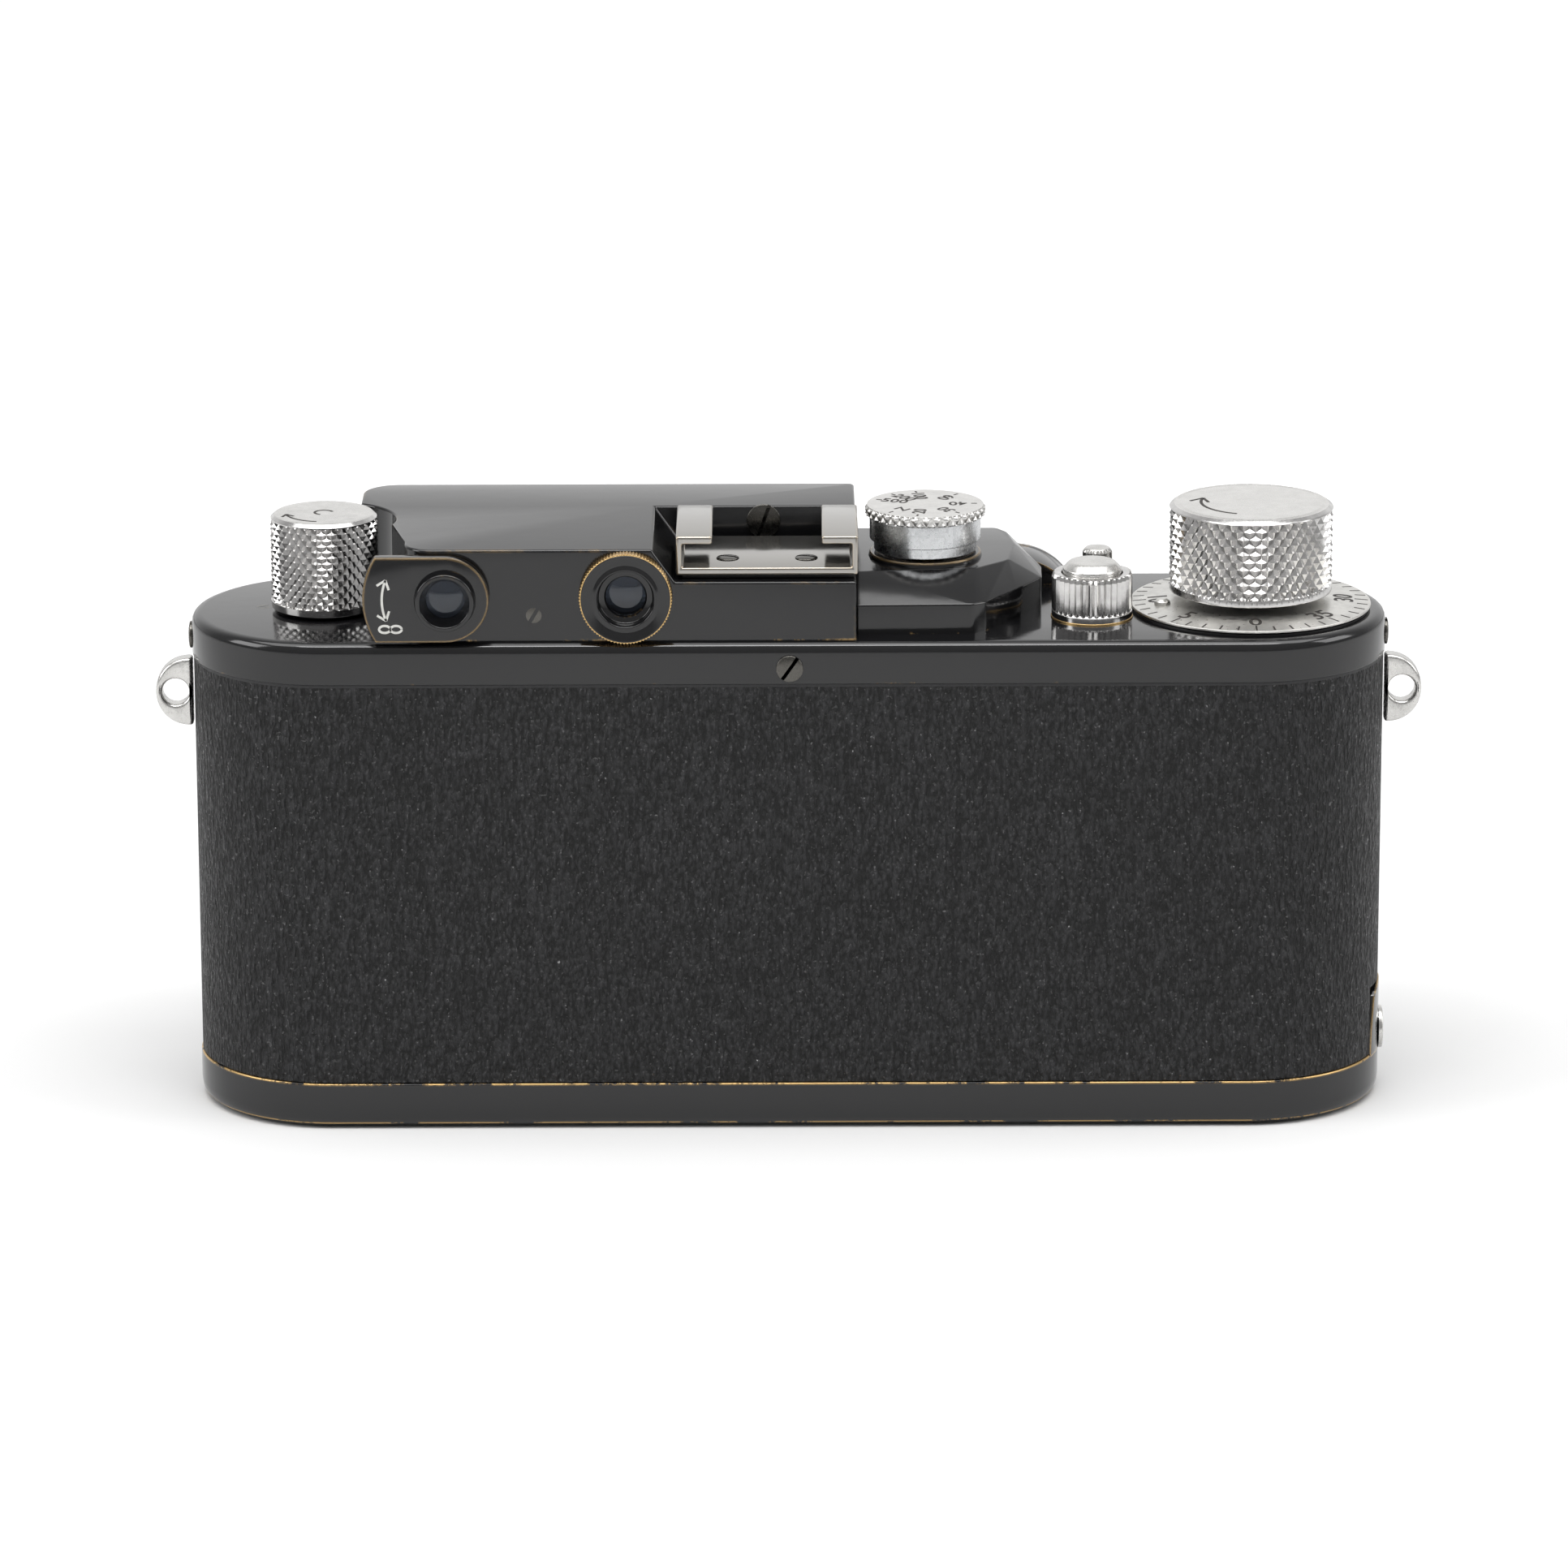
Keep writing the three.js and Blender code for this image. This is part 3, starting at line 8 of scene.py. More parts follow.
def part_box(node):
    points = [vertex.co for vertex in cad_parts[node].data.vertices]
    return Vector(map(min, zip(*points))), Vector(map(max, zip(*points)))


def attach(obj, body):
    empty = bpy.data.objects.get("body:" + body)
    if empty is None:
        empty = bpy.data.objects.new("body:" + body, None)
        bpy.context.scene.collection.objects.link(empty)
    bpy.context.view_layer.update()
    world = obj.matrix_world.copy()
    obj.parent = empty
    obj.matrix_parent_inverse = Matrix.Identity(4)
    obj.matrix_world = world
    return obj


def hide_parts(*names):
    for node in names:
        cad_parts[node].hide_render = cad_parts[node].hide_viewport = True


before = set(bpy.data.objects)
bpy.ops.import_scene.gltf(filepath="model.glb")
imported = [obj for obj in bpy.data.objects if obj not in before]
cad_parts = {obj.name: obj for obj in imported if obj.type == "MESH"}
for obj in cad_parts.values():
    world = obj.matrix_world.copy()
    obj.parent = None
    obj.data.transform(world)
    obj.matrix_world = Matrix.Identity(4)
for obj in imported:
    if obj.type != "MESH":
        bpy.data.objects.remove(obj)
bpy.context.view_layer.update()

MM = 0.001
scene = bpy.context.scene


# ------------------------------------------------------------ sizes from the frame, in millimetres

def node_box(name):
    """Lowest and highest corner of a CAD node, in millimetres."""
    low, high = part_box(name)
    return Vector(low) / MM, Vector(high) / MM


def middle(name):
    low, high = node_box(name)
    return (low + high) / 2


PLATE_LOW, PLATE_HIGH = node_box("top_plate")
FRONT = PLATE_HIGH.y
ARC_X = PLATE_HIGH.x - FRONT
TOP = node_box("finder_housing")[0].z
SKIRT_FOOT = PLATE_LOW.z
TRAY_TOP = 5.3
WIND = middle("wind_knob")
REWIND = middle("rewind_knob")
DIAL = middle("speed_dial_cap")
RELEASE = middle("release_collar")
SLOW = middle("slow_speed_dial")
SLOW_BOSS = 7.5
SLOW_CENTRE_Z = middle("slow_speed_housing").z
LENS = middle("lens_flange")
HOUSE_LOW, HOUSE_HIGH = node_box("finder_housing")
EYE_Z = middle("rangefinder_eye_lens").z
RANGE_X = middle("rangefinder_eye_lens").x
VIEW_X = middle("viewfinder_eye_lens").x
EAR_TOP = 12.9
RECESS_WIDTH = 19.9
REWIND_RELIEF = 8.0
HOUSING_SCREW_Z = 58.9
FLANGE_SCREW_CIRCLE = 20.75
REVERSING_PIVOT = Vector((36.499, 12.0))
REVERSING_HEAD = Vector((34.70, 8.0))
COUNTER_RIM, COUNTER_HUB, COUNTER_RISE = 13.4, 4.64, 0.75
STOP_FACE = 33.2


# ------------------------------------------------------------ material helpers

def nodes_of(name):
    mat = bpy.data.materials.new(name)
    mat.use_nodes = True
    tree = mat.node_tree
    shader = tree.nodes["Principled BSDF"]
    return mat, tree, shader


def add(tree, kind, **values):
    node = tree.nodes.new(kind)
    for key, value in values.items():
        if key in node.inputs:
            node.inputs[key].default_value = value
        else:
            setattr(node, key, value)
    return node


def math_node(operation, *values):
    tree = next(value.id_data for value in values if not isinstance(value, (int, float)))
    node = add(tree, "ShaderNodeMath", operation=operation)
    for socket, value in zip(node.inputs, values):
        if isinstance(value, (int, float)):
            socket.default_value = value
        else:
            tree.links.new(value, socket)
    return node.outputs[0]


def plus(a, b):
    return math_node("ADD", a, b)


def times(a, b):
    return math_node("MULTIPLY", a, b)


def feed(node, socket, source):
    """Links a source to a node's input."""
    node.id_data.links.new(source, node.inputs[socket])


def ramp(source, low, high, a=0.0, b=1.0):
    """source going from low to high becomes a to b."""
    node = add(source.id_data, "ShaderNodeMapRange")
    feed(node, "Value", source)
    for key, value in zip(("From Min", "From Max", "To Min", "To Max"), (low, high, a, b)):
        node.inputs[key].default_value = value
    return node.outputs["Result"]


def coordinates(tree, scale=(1, 1, 1), place=(0, 0, 0)):
    """Row-frame position in millimetres, moved to a place and stretched by a scale."""
    where = add(tree, "ShaderNodeTexCoord")
    mapping = add(tree, "ShaderNodeMapping", vector_type="TEXTURE")
    mapping.inputs["Location"].default_value = [c * MM for c in place]
    mapping.inputs["Scale"].default_value = [MM * s for s in scale]
    feed(mapping, "Vector", where.outputs["Object"])
    return mapping.outputs["Vector"]


def noise(tree, scale, detail=3.0, rough=0.5, stretch=(1, 1, 1)):
    node = add(tree, "ShaderNodeTexNoise", Scale=scale, Detail=detail, Roughness=rough)
    feed(node, "Vector", coordinates(tree, stretch))
    return node.outputs["Fac"]


def mix_colour(factor, a, b):
    tree = factor.id_data
    node = add(tree, "ShaderNodeMix", data_type="RGBA")
    for socket, value in ((node.inputs[6], a), (node.inputs[7], b)):
        if isinstance(value, tuple):
            socket.default_value = (*value, 1)
        else:
            tree.links.new(value, socket)
    feed(node, 0, factor)
    return node.outputs[2]


def bump(shader, height, distance, strength=1.0):
    node = add(height.id_data, "ShaderNodeBump", Strength=strength, Distance=distance * MM)
    feed(node, "Height", height)
    feed(shader, "Normal", node.outputs["Normal"])


def edge_mask(tree, radius, low, high):
    """0 on flat surfaces, rising to 1 where an edge turns within the radius."""
    soft = add(tree, "ShaderNodeBevel", samples=6, Radius=radius * MM)
    hard = add(tree, "ShaderNodeNewGeometry")
    dot = add(tree, "ShaderNodeVectorMath", operation="DOT_PRODUCT")
    feed(dot, 0, soft.outputs["Normal"])
    feed(dot, 1, hard.outputs["Normal"])
    turned = math_node("SUBTRACT", 1.0, dot.outputs["Value"])
    return ramp(turned, low, high)


# ------------------------------------------------------------ materials

BRASS = (0.60, 0.40, 0.17)


def enamel(name, wear=0.5, rub=None, film=(0.0045, 0.0045, 0.005), sheen=0.0):
    """Glossy black enamel over brass. rub is a list of (axis, from, to) bands of millimetres rubbed bare."""
    mat, tree, shader = nodes_of(name)
    patch = noise(tree, 0.16, 5, 0.65)
    fine = noise(tree, 1.6, 4, 0.7)
    edge = edge_mask(tree, 0.45, 0.015, 0.1)
    grime = plus(patch, times(fine, 0.35))
    bare = times(edge, ramp(grime, 0.80 - 0.3 * wear, 0.90 - 0.3 * wear))
    for axis, low, high in rub or ():
        split = add(tree, "ShaderNodeSeparateXYZ")
        feed(split, 0, coordinates(tree))
        value = split.outputs[axis]
        inside = times(ramp(value, low, low + 0.15), ramp(value, high, high - 0.15))
        bare = math_node("MAXIMUM", bare, times(inside, ramp(grime, 0.82 - 0.3 * wear, 0.88 - 0.3 * wear)))
    colour = mix_colour(bare, film, BRASS)
    feed(shader, "Base Color", colour)
    feed(shader, "Metallic", math_node("MAXIMUM", bare, sheen))
    smear = noise(tree, 0.09, 6, 0.6)
    gloss = ramp(smear, 0.3, 0.75, 0.07, 0.17)
    feed(shader, "Roughness", plus(gloss, times(bare, 0.22)))
    shader.inputs["IOR"].default_value = 1.55
    bump(shader, plus(noise(tree, 0.35, 2), times(bare, -0.4)), 0.012)
    return mat


def metal(name, colour=(0.66, 0.65, 0.63), rough=0.24, turned=None, axis="Z", grain=0.3, dirt=0.18):
    """Satin plating. turned is the axis's place where the face shows fine lathe circles."""
    mat, tree, shader = nodes_of(name)
    stain = noise(tree, 0.5, 5, 0.65)
    dark = tuple(c * (1 - dirt) for c in colour)
    feed(shader, "Base Color", mix_colour(ramp(stain, 0.35, 0.72), colour, dark))
    shader.inputs["Metallic"].default_value = 1.0
    rough_map = ramp(noise(tree, 2.2, 4), 0.3, 0.7, rough * 0.8, rough * 1.35)
    feed(shader, "Roughness", rough_map)
    height = noise(tree, 3.0, 2)
    if turned is not None:
        where = add(tree, "ShaderNodeSeparateXYZ")
        feed(where, 0, coordinates(tree, place=turned))
        flat = {"Z": ("X", "Y"), "Y": ("X", "Z")}[axis]
        squares = [times(where.outputs[k], where.outputs[k]) for k in flat]
        radius = math_node("SQRT", plus(*squares))
        rings = add(tree, "ShaderNodeTexNoise", noise_dimensions="1D", Scale=7.0, Detail=2.0)
        feed(rings, "W", radius)
        height = plus(times(height, 0.1), rings.outputs["Fac"])
    bump(shader, height, 0.0016, grain)
    return mat


def vulcanite():
    """Hard black covering with a fine upright grain of pebbles and creases."""
    mat, tree, shader = nodes_of("vulcanite")
    cells = add(tree, "ShaderNodeTexVoronoi", feature="SMOOTH_F1", Scale=1.0, Smoothness=0.35,
        Randomness=1.0)
    warp = add(tree, "ShaderNodeTexNoise", Scale=0.9, Detail=2.0)
    base = coordinates(tree, (0.40, 0.40, 0.78))
    feed(warp, "Vector", base)
    pushed = add(tree, "ShaderNodeVectorMath", operation="MULTIPLY_ADD")
    feed(pushed, 0, warp.outputs["Color"])
    pushed.inputs[1].default_value = (1.4, 1.4, 0.9)
    feed(pushed, 2, base)
    feed(cells, "Vector", pushed.outputs[0])
    creases = ramp(noise(tree, 1.0, 3, 0.6, (0.5, 0.5, 1.9)), 0.3, 0.7)
    pebble = ramp(cells.outputs["Distance"], 0.1, 0.75, 1.0, 0.0)
    height = plus(times(pebble, 0.6), times(creases, 0.75))
    # Painted highlight and shade: the colour is lighter on the raised pebbles and creases and darker in the
    # hollows between them, times a random tone of the covering.
    painted_highlight_and_tone = times(ramp(height, 0.35, 1.2), ramp(noise(tree, 0.06, 3), 0.3, 0.7, 0.75, 1.0))
    feed(shader, "Base Color", mix_colour(painted_highlight_and_tone, (0.0015, 0.0015, 0.0016), (0.029, 0.029, 0.031)))
    glint = ramp(noise(tree, 2.6, 1), 0.66, 0.72)
    feed(shader, "Roughness", ramp(plus(height, glint), 0.5, 1.9, 0.6, 0.12))
    feed(shader, "Specular IOR Level", ramp(glint, 0, 1, 0.36, 1.0))
    bump(shader, height, 0.42, 1.0)
    return mat


def plain(name, colour, rough, metallic=0.0):
    mat, tree, shader = nodes_of(name)
    tone = noise(tree, 1.2, 4)
    dark = tuple(c * 0.72 for c in colour)
    feed(shader, "Base Color", mix_colour(tone, dark, colour))
    feed(shader, "Roughness", ramp(noise(tree, 3.0, 3), 0.3, 0.7, rough * 0.85, rough * 1.15))
    shader.inputs["Metallic"].default_value = metallic
    bump(shader, noise(tree, 6.0, 2), 0.006, 0.5)
    return mat


def glass(name, tint=(0.90, 0.94, 0.98)):
    mat, tree, shader = nodes_of(name)
    shader.inputs["Base Color"].default_value = (*tint, 1)
    shader.inputs["Transmission Weight"].default_value = 1.0
    shader.inputs["Coat Weight"].default_value = 0.25
    shader.inputs["Coat Tint"].default_value = (0.8, 0.87, 1.0, 1)
    feed(shader, "Roughness", ramp(noise(tree, 0.8, 4), 0.4, 0.9, 0.01, 0.05))
    shader.inputs["IOR"].default_value = 1.52
    return mat


def cloth():
    mat, tree, shader = nodes_of("shutter_cloth")
    weave = add(tree, "ShaderNodeTexWave", Scale=1.6, Distortion=0.4, bands_direction="Z")
    feed(weave, "Vector", coordinates(tree, (0.2, 0.2, 0.2)))
    feed(shader, "Base Color", mix_colour(weave.outputs["Fac"], (0.012, 0.012, 0.013),
        (0.028, 0.028, 0.03)))
    shader.inputs["Roughness"].default_value = 0.85
    shader.inputs["Sheen Weight"].default_value = 0.2
    bump(shader, weave.outputs["Fac"], 0.03, 0.6)
    return mat


# ------------------------------------------------------------ mesh helpers, all in millimetres

def finished(obj, sharp=35):
    """Merges doubles, turns the faces outwards and shades smooth but for edges sharper than the angle."""
    bm = bmesh.new()
    bm.from_mesh(obj.data)
    bmesh.ops.remove_doubles(bm, verts=bm.verts, dist=1e-7)
    bmesh.ops.dissolve_degenerate(bm, edges=bm.edges, dist=1e-8)
    bmesh.ops.recalc_face_normals(bm, faces=bm.faces)
    bm.to_mesh(obj.data)
    bm.free()
    obj.data.shade_smooth()
    obj.data.set_sharp_from_angle(angle=radians(sharp))
    return obj


def linked(name, data):
    """A new object in the scene."""
    obj = bpy.data.objects.new(name, data)
    scene.collection.objects.link(obj)
    return obj


def mesh_object(name, points, faces, mat, sharp=35):
    mesh = bpy.data.meshes.new(name)
    mesh.from_pydata([Vector(p) * MM for p in points], [], faces)
    obj = linked(name, mesh)
    mesh.materials.append(mat)
    return finished(obj, sharp)


def lofted(rings, closed):
    """Points and quads through rings of equal length. closed joins the last ring to the first."""
    count = len(rings[0])
    points = [p for ring in rings for p in ring]
    faces = []
    for i in range(len(rings) if closed else len(rings) - 1):
        j = (i + 1) % len(rings)
        for k in range(count):
            m = (k + 1) % count
            faces.append((i * count + k, i * count + m, j * count + m, j * count + k))
    return points, faces


def rounded(corners, closed=False, steps=5):
    """A polyline of (a, b) or (a, b, radius) corners with each radius drawn as an arc."""
    out = []
    count = len(corners)
    for i, corner in enumerate(corners):
        here = Vector(corner[:2])
        radius = corner[2] if len(corner) > 2 else 0
        if not radius or (not closed and i in (0, count - 1)):
            out.append(tuple(here))
            continue
        before = Vector(corners[i - 1][:2]) - here
        after = Vector(corners[(i + 1) % count][:2]) - here
        half = before.angle(after) / 2
        cut = min(radius / tan(half), before.length * 0.49, after.length * 0.49)
        start, end = here + before.normalized() * cut, here + after.normalized() * cut
        for s in range(steps + 1):
            t = s / steps
            out.append(tuple(start * (1 - t) ** 2 + here * 2 * t * (1 - t) + end * t * t))
    return out


# A point from two places across an axis and one along it, and which coordinates run across it.
ALONG = {"Z": lambda a, b, h: (a, b, h), "Y": lambda a, b, h: (a, h, b), "X": lambda a, b, h: (h, a, b)}
ACROSS = {"Z": (0, 1), "Y": (0, 2), "X": (1, 2)}


def revolved(name, profile, place, mat, axis="Z", steps=96, relief=None, sharp=35, fine=0, knurl_foot=None):
    """A profile of (radius, height[, fillet]) turned about an axis through place, open if it starts there.
    relief(angle, height) moves the surface in or out; fine splits long rises so that relief shows.
    Above knurl_foot the quads are cut along the diamonds' own grooves, which cross every 8 steps."""
    closed = profile[0][0] > 0
    line = rounded(profile, closed)
    if fine:
        split = []
        for a, b in zip(line, line[1:] + line[:1]):
            split.append(a)
            rise = abs(b[1] - a[1])
            if rise > fine and abs(b[0] - a[0]) < 0.01:
                parts = int(rise / fine)
                split += [(a[0], a[1] + (b[1] - a[1]) * s / parts) for s in range(1, parts)]
        line = split
    first, second = (place[k] for k in ACROSS[axis])
    rings = []
    for radius, height in line:
        ring = []
        for s in range(steps):
            angle = 2 * pi * s / steps
            r = radius + (relief(angle, height, radius) if relief else 0)
            ring.append(ALONG[axis](first + r * cos(angle), second + r * sin(angle), height))
        rings.append(ring)
    points, faces = lofted(rings, closed)
    if knurl_foot is not None:
        widest = max(r for r, h in line)
        start = min(i for i, (r, h) in enumerate(line) if r > widest - 0.01 and h > knurl_foot - 0.001)
        cut = []
        for a, b, c, d in faces:
            i, k = divmod(a, steps)
            cut += [(a, b, d), (b, c, d)] if (k + i - start + 1) % 8 == 0 else [(a, b, c), (a, c, d)]
        faces = cut
    return mesh_object(name, points, faces, mat, sharp)


def plan_ring(inset, z, steps=40):
    """The body's plan at an inset: half-round ends and straight flanks split along their length."""
    radius = FRONT - inset
    ring = []
    for side in (1, -1):
        for s in range(steps + 1):
            angle = side * pi / 2 * (2 * s / steps - 1) if side > 0 else pi / 2 + pi * s / steps
            ring.append((side * ARC_X + radius * cos(angle), radius * sin(angle), z))
    return ring


def around_plan(name, profile, mat, closed=True):
    rings = [plan_ring(inset, z) for inset, z in rounded(profile, closed)]
    return mesh_object(name, *lofted(rings, closed), mat)


def prism(name, outline, low, high, mat, axis="Z"):
    """A straight prism on an outline: (x, y) for axis Z, (x, z) for Y and (y, z) for X."""
    put = ALONG[axis]
    count = len(outline)
    points = [put(a, b, low) for a, b in outline] + [put(a, b, high) for a, b in outline]
    faces = [tuple(range(count)), tuple(range(2 * count - 1, count - 1, -1))]
    faces += [(i, (i + 1) % count, count + (i + 1) % count, count + i) for i in range(count)]
    return mesh_object(name, points, faces, mat)


def block(name, low, high, mat):
    (x0, y0, z0), (x1, y1, z1) = low, high
    return prism(name, [(x0, y0), (x1, y0), (x1, y1), (x0, y1)], z0, z1, mat)


def disc(name, radius, low, high, place, mat, axis="Z", steps=64):
    return revolved(name, [(0, low), (radius, low), (radius, high), (0, high)], place, mat, axis, steps)


def apply_modifiers(obj):
    graph = bpy.context.evaluated_depsgraph_get()
    mesh = bpy.data.meshes.new_from_object(obj.evaluated_get(graph))
    obj.modifiers.clear()
    obj.data = mesh


def boolean(obj, tools):
    """Cuts each tool out of the object and removes it."""
    for tool in tools:
        step = obj.modifiers.new("cut", "BOOLEAN")
        step.operation = "DIFFERENCE"
        step.solver = "EXACT"
        step.object = tool
        bpy.context.view_layer.update()
        apply_modifiers(obj)
        bpy.data.objects.remove(tool)
    return obj


def softened(obj, width, segments=3, angle=32):
    """Rounds every edge sharper than the angle."""
    step = obj.modifiers.new("soft edges", "BEVEL")
    step.width = width * MM
    step.segments = segments
    step.limit_method = "ANGLE"
    step.angle_limit = radians(angle)
    bpy.context.view_layer.update()
    apply_modifiers(obj)
    return finished(obj, 32)


def joined(name, objects):
    """Several meshes as one piece."""
    bm = bmesh.new()
    for obj in objects:
        bm.from_mesh(obj.data)
    mesh = objects[0].data.copy()
    bm.to_mesh(mesh)
    bm.free()
    piece = linked(name, mesh)
    for obj in objects:
        bpy.data.objects.remove(obj)
    mesh.shade_smooth()
    mesh.set_sharp_from_angle(angle=radians(35))
    return piece


def arc(x, y, radius, start, end, steps=16):
    """Points of an arc, its angles in degrees."""
    turns = [radians(start + (end - start) * s / steps) for s in range(steps + 1)]
    return [(x + radius * cos(a), y + radius * sin(a)) for a in turns]


def belongs(piece, body, finish, *stands_for):
    """The piece rides on a body and stands for CAD nodes, which it hides. finish is not used."""
    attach(piece, body)
    if stands_for:
        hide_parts(*stands_for)


def mirrored(piece):
    for vertex in piece.data.vertices:
        vertex.co.x = -vertex.co.x
    return finished(piece)


def spin(angle, axis="Z"):
    return Matrix.Rotation(angle, 4, axis)


def shift(x, y, z):
    return Matrix.Translation(Vector((x, y, z)) * MM)


def moved(obj, matrix):
    obj.data.transform(matrix)
    return obj


def strokes(name, lines, width, height, mat):
    """Flat engraved strokes: each line is a list of (x, y) points, drawn as a thin ribbon at a height."""
    points, faces = [], []
    for line in lines:
        start = len(points)
        for i, here in enumerate(line):
            before, after = line[max(i - 1, 0)], line[min(i + 1, len(line) - 1)]
            along = (Vector(after) - Vector(before)).normalized()
            side = Vector((-along.y, along.x)) * width / 2
            points += [(here[0] + side.x, here[1] + side.y, height),
                (here[0] - side.x, here[1] - side.y, height)]
        for i in range(len(line) - 1):
            k = start + 2 * i
            faces.append((k, k + 1, k + 3, k + 2))
    ribbon = mesh_object(name, points, faces, mat)
    return thickened(ribbon, 0.02)


def arrow(curve, length, spread):
    """Two barbs at the end of a curve, at an angle of spread degrees to it."""
    tip = Vector(curve[-1])
    back = (Vector(curve[-2]) - tip).normalized()
    turns = [Matrix.Rotation(radians(side * spread), 2) for side in (-1, 1)]
    return [[tuple(tip + turn @ back * length), tuple(tip)] for turn in turns]


def thickened(obj, depth):
    step = obj.modifiers.new("depth", "SOLIDIFY")
    step.thickness = depth * MM
    step.offset = 0
    bpy.context.view_layer.update()
    apply_modifiers(obj)
    return obj


def numeral(name, text, size, mat):
    """A flat number, centred on the origin and lying in X and Y."""
    curve = bpy.data.curves.new(name, "FONT")
    curve.body = text
    curve.size = size * MM
    curve.align_x = "CENTER"
    curve.align_y = "CENTER"
    curve.extrude = 0.012 * MM
    curve.offset = 0.03 * MM
    curve.resolution_u = 3
    holder = linked(name, curve)
    bpy.context.view_layer.update()
    mesh = bpy.data.meshes.new_from_object(holder.evaluated_get(bpy.context.evaluated_depsgraph_get()))
    bpy.data.objects.remove(holder)
    piece = linked(name, mesh)
    mesh.materials.clear()
    mesh.materials.append(mat)
    return piece


def wave(t):
    """A triangle wave of period 1 between 0 and 1."""
    return abs(2 * (t % 1) - 1)


def ribs(count, depth, inner, low=-inf, high=inf):
    """Relief of straight ribs, outside the inner radius and between two heights."""
    return lambda a, h, r: -depth * wave(a / (2 * pi) * count) if r > inner and low < h < high else 0


def diamonds(count, low, high, pitch, depth, margin=0.35):
    """Relief of a diamond knurl: raised pyramids between two sets of crossing grooves."""
    def relief(angle, height, radius):
        if not low + margin < height < high - margin:
            return -depth * 0.35 if low < height < high else 0
        turn = angle / (2 * pi) * count
        rise = (height - low) / pitch
        return -depth * (1 - min(wave(turn + rise), wave(turn - rise)))
    return relief


# ------------------------------------------------------------ the materials used

BODY_ENAMEL = enamel("enamel_plate", 0.0)
BASE_ENAMEL = enamel("enamel_base", 0.7, [("Z", 5.08, 5.4), ("Z", 0.5, 0.8)])
HOUSE_ENAMEL = enamel("enamel_housing", 0.3)
WORN_ENAMEL = enamel("enamel_worn", 1.1)
LEVER_ENAMEL = enamel("enamel_lever", 2.3)
SHOE_METAL = enamel("enamel_shoe", 1.7, film=(0.36, 0.35, 0.33), sheen=0.92)
DARK = plain("black_inside", (0.012, 0.012, 0.013), 0.5)
INK = plain("engraving_ink", (0.02, 0.016, 0.013), 0.6)
WHITE = plain("white_engraving", (0.72, 0.72, 0.68), 0.55)
BARE_BRASS = metal("worn_brass", (0.66, 0.45, 0.2), 0.3)
NICKEL = metal("satin_nickel")
KNURL = metal("knurled_nickel", (0.66, 0.65, 0.64), 0.17, grain=0.1, dirt=0.25)
DARK_STEEL = metal("blued_steel", (0.12, 0.115, 0.105), 0.25)
STEEL = metal("machined_steel", (0.45, 0.45, 0.45), 0.3)
BRIGHT_BRASS = metal("machined_brass", (0.72, 0.54, 0.26), 0.28)
COVER = vulcanite()
LENS_GLASS = glass("lens_glass")
EYE_GLASS = glass("eye_glass", (0.3, 0.34, 0.4))
WINDOW_GLASS = glass("window_glass", (0.9, 0.95, 0.97))
CASTING = plain("cast_alloy", (0.25, 0.25, 0.26), 0.55, 0.8)
CURTAIN = cloth()


# ------------------------------------------------------------ body

def top_plate():
    skin = [(FRONT, TOP - 1.2), (0.9, TOP - 1.2), (0.9, SKIRT_FOOT), (0, SKIRT_FOOT, 0.15), (0, TOP, 1.25),
        (FRONT, TOP)]
    plate = around_plan("top_plate_shell", skin, BODY_ENAMEL, closed=False)
    plate = finished(boolean(plate, [disc("button_hole", 3.35, TOP - 3, TOP + 1, RELEASE, BODY_ENAMEL)]))
    belongs(plate, "body", "enamel", "top_plate")
    seat = revolved("counter_seat", [(2.4, TOP), (13.2, TOP), (13.2, TOP + 0.15), (2.4, TOP + 0.15)], WIND,
        DARK)
    belongs(seat, "body", "enamel")


def covering():
    low, high = TRAY_TOP + 0.12, SKIRT_FOOT
    rows = [low + (high - low) * i / 90 for i in range(91)]
    profile = [(1.15, low)] + [(0.15, z) for z in rows] + [(1.15, high)]
    skin = around_plan("grained_covering", profile, COVER)
    notch = block("ear_notch", (ARC_X, -6.0, 0), (ARC_X * 2, 6.0, 13.2), COVER)
    belongs(boolean(skin, [notch]), "body", "covering", "body_covering")
    lip = around_plan("covering_lip", [(0.95, high - 0.35), (0.12, high - 0.35, 0.1), (0.12, high - 0.02),
        (0.95, high)], DARK)
    belongs(lip, "body", "covering")


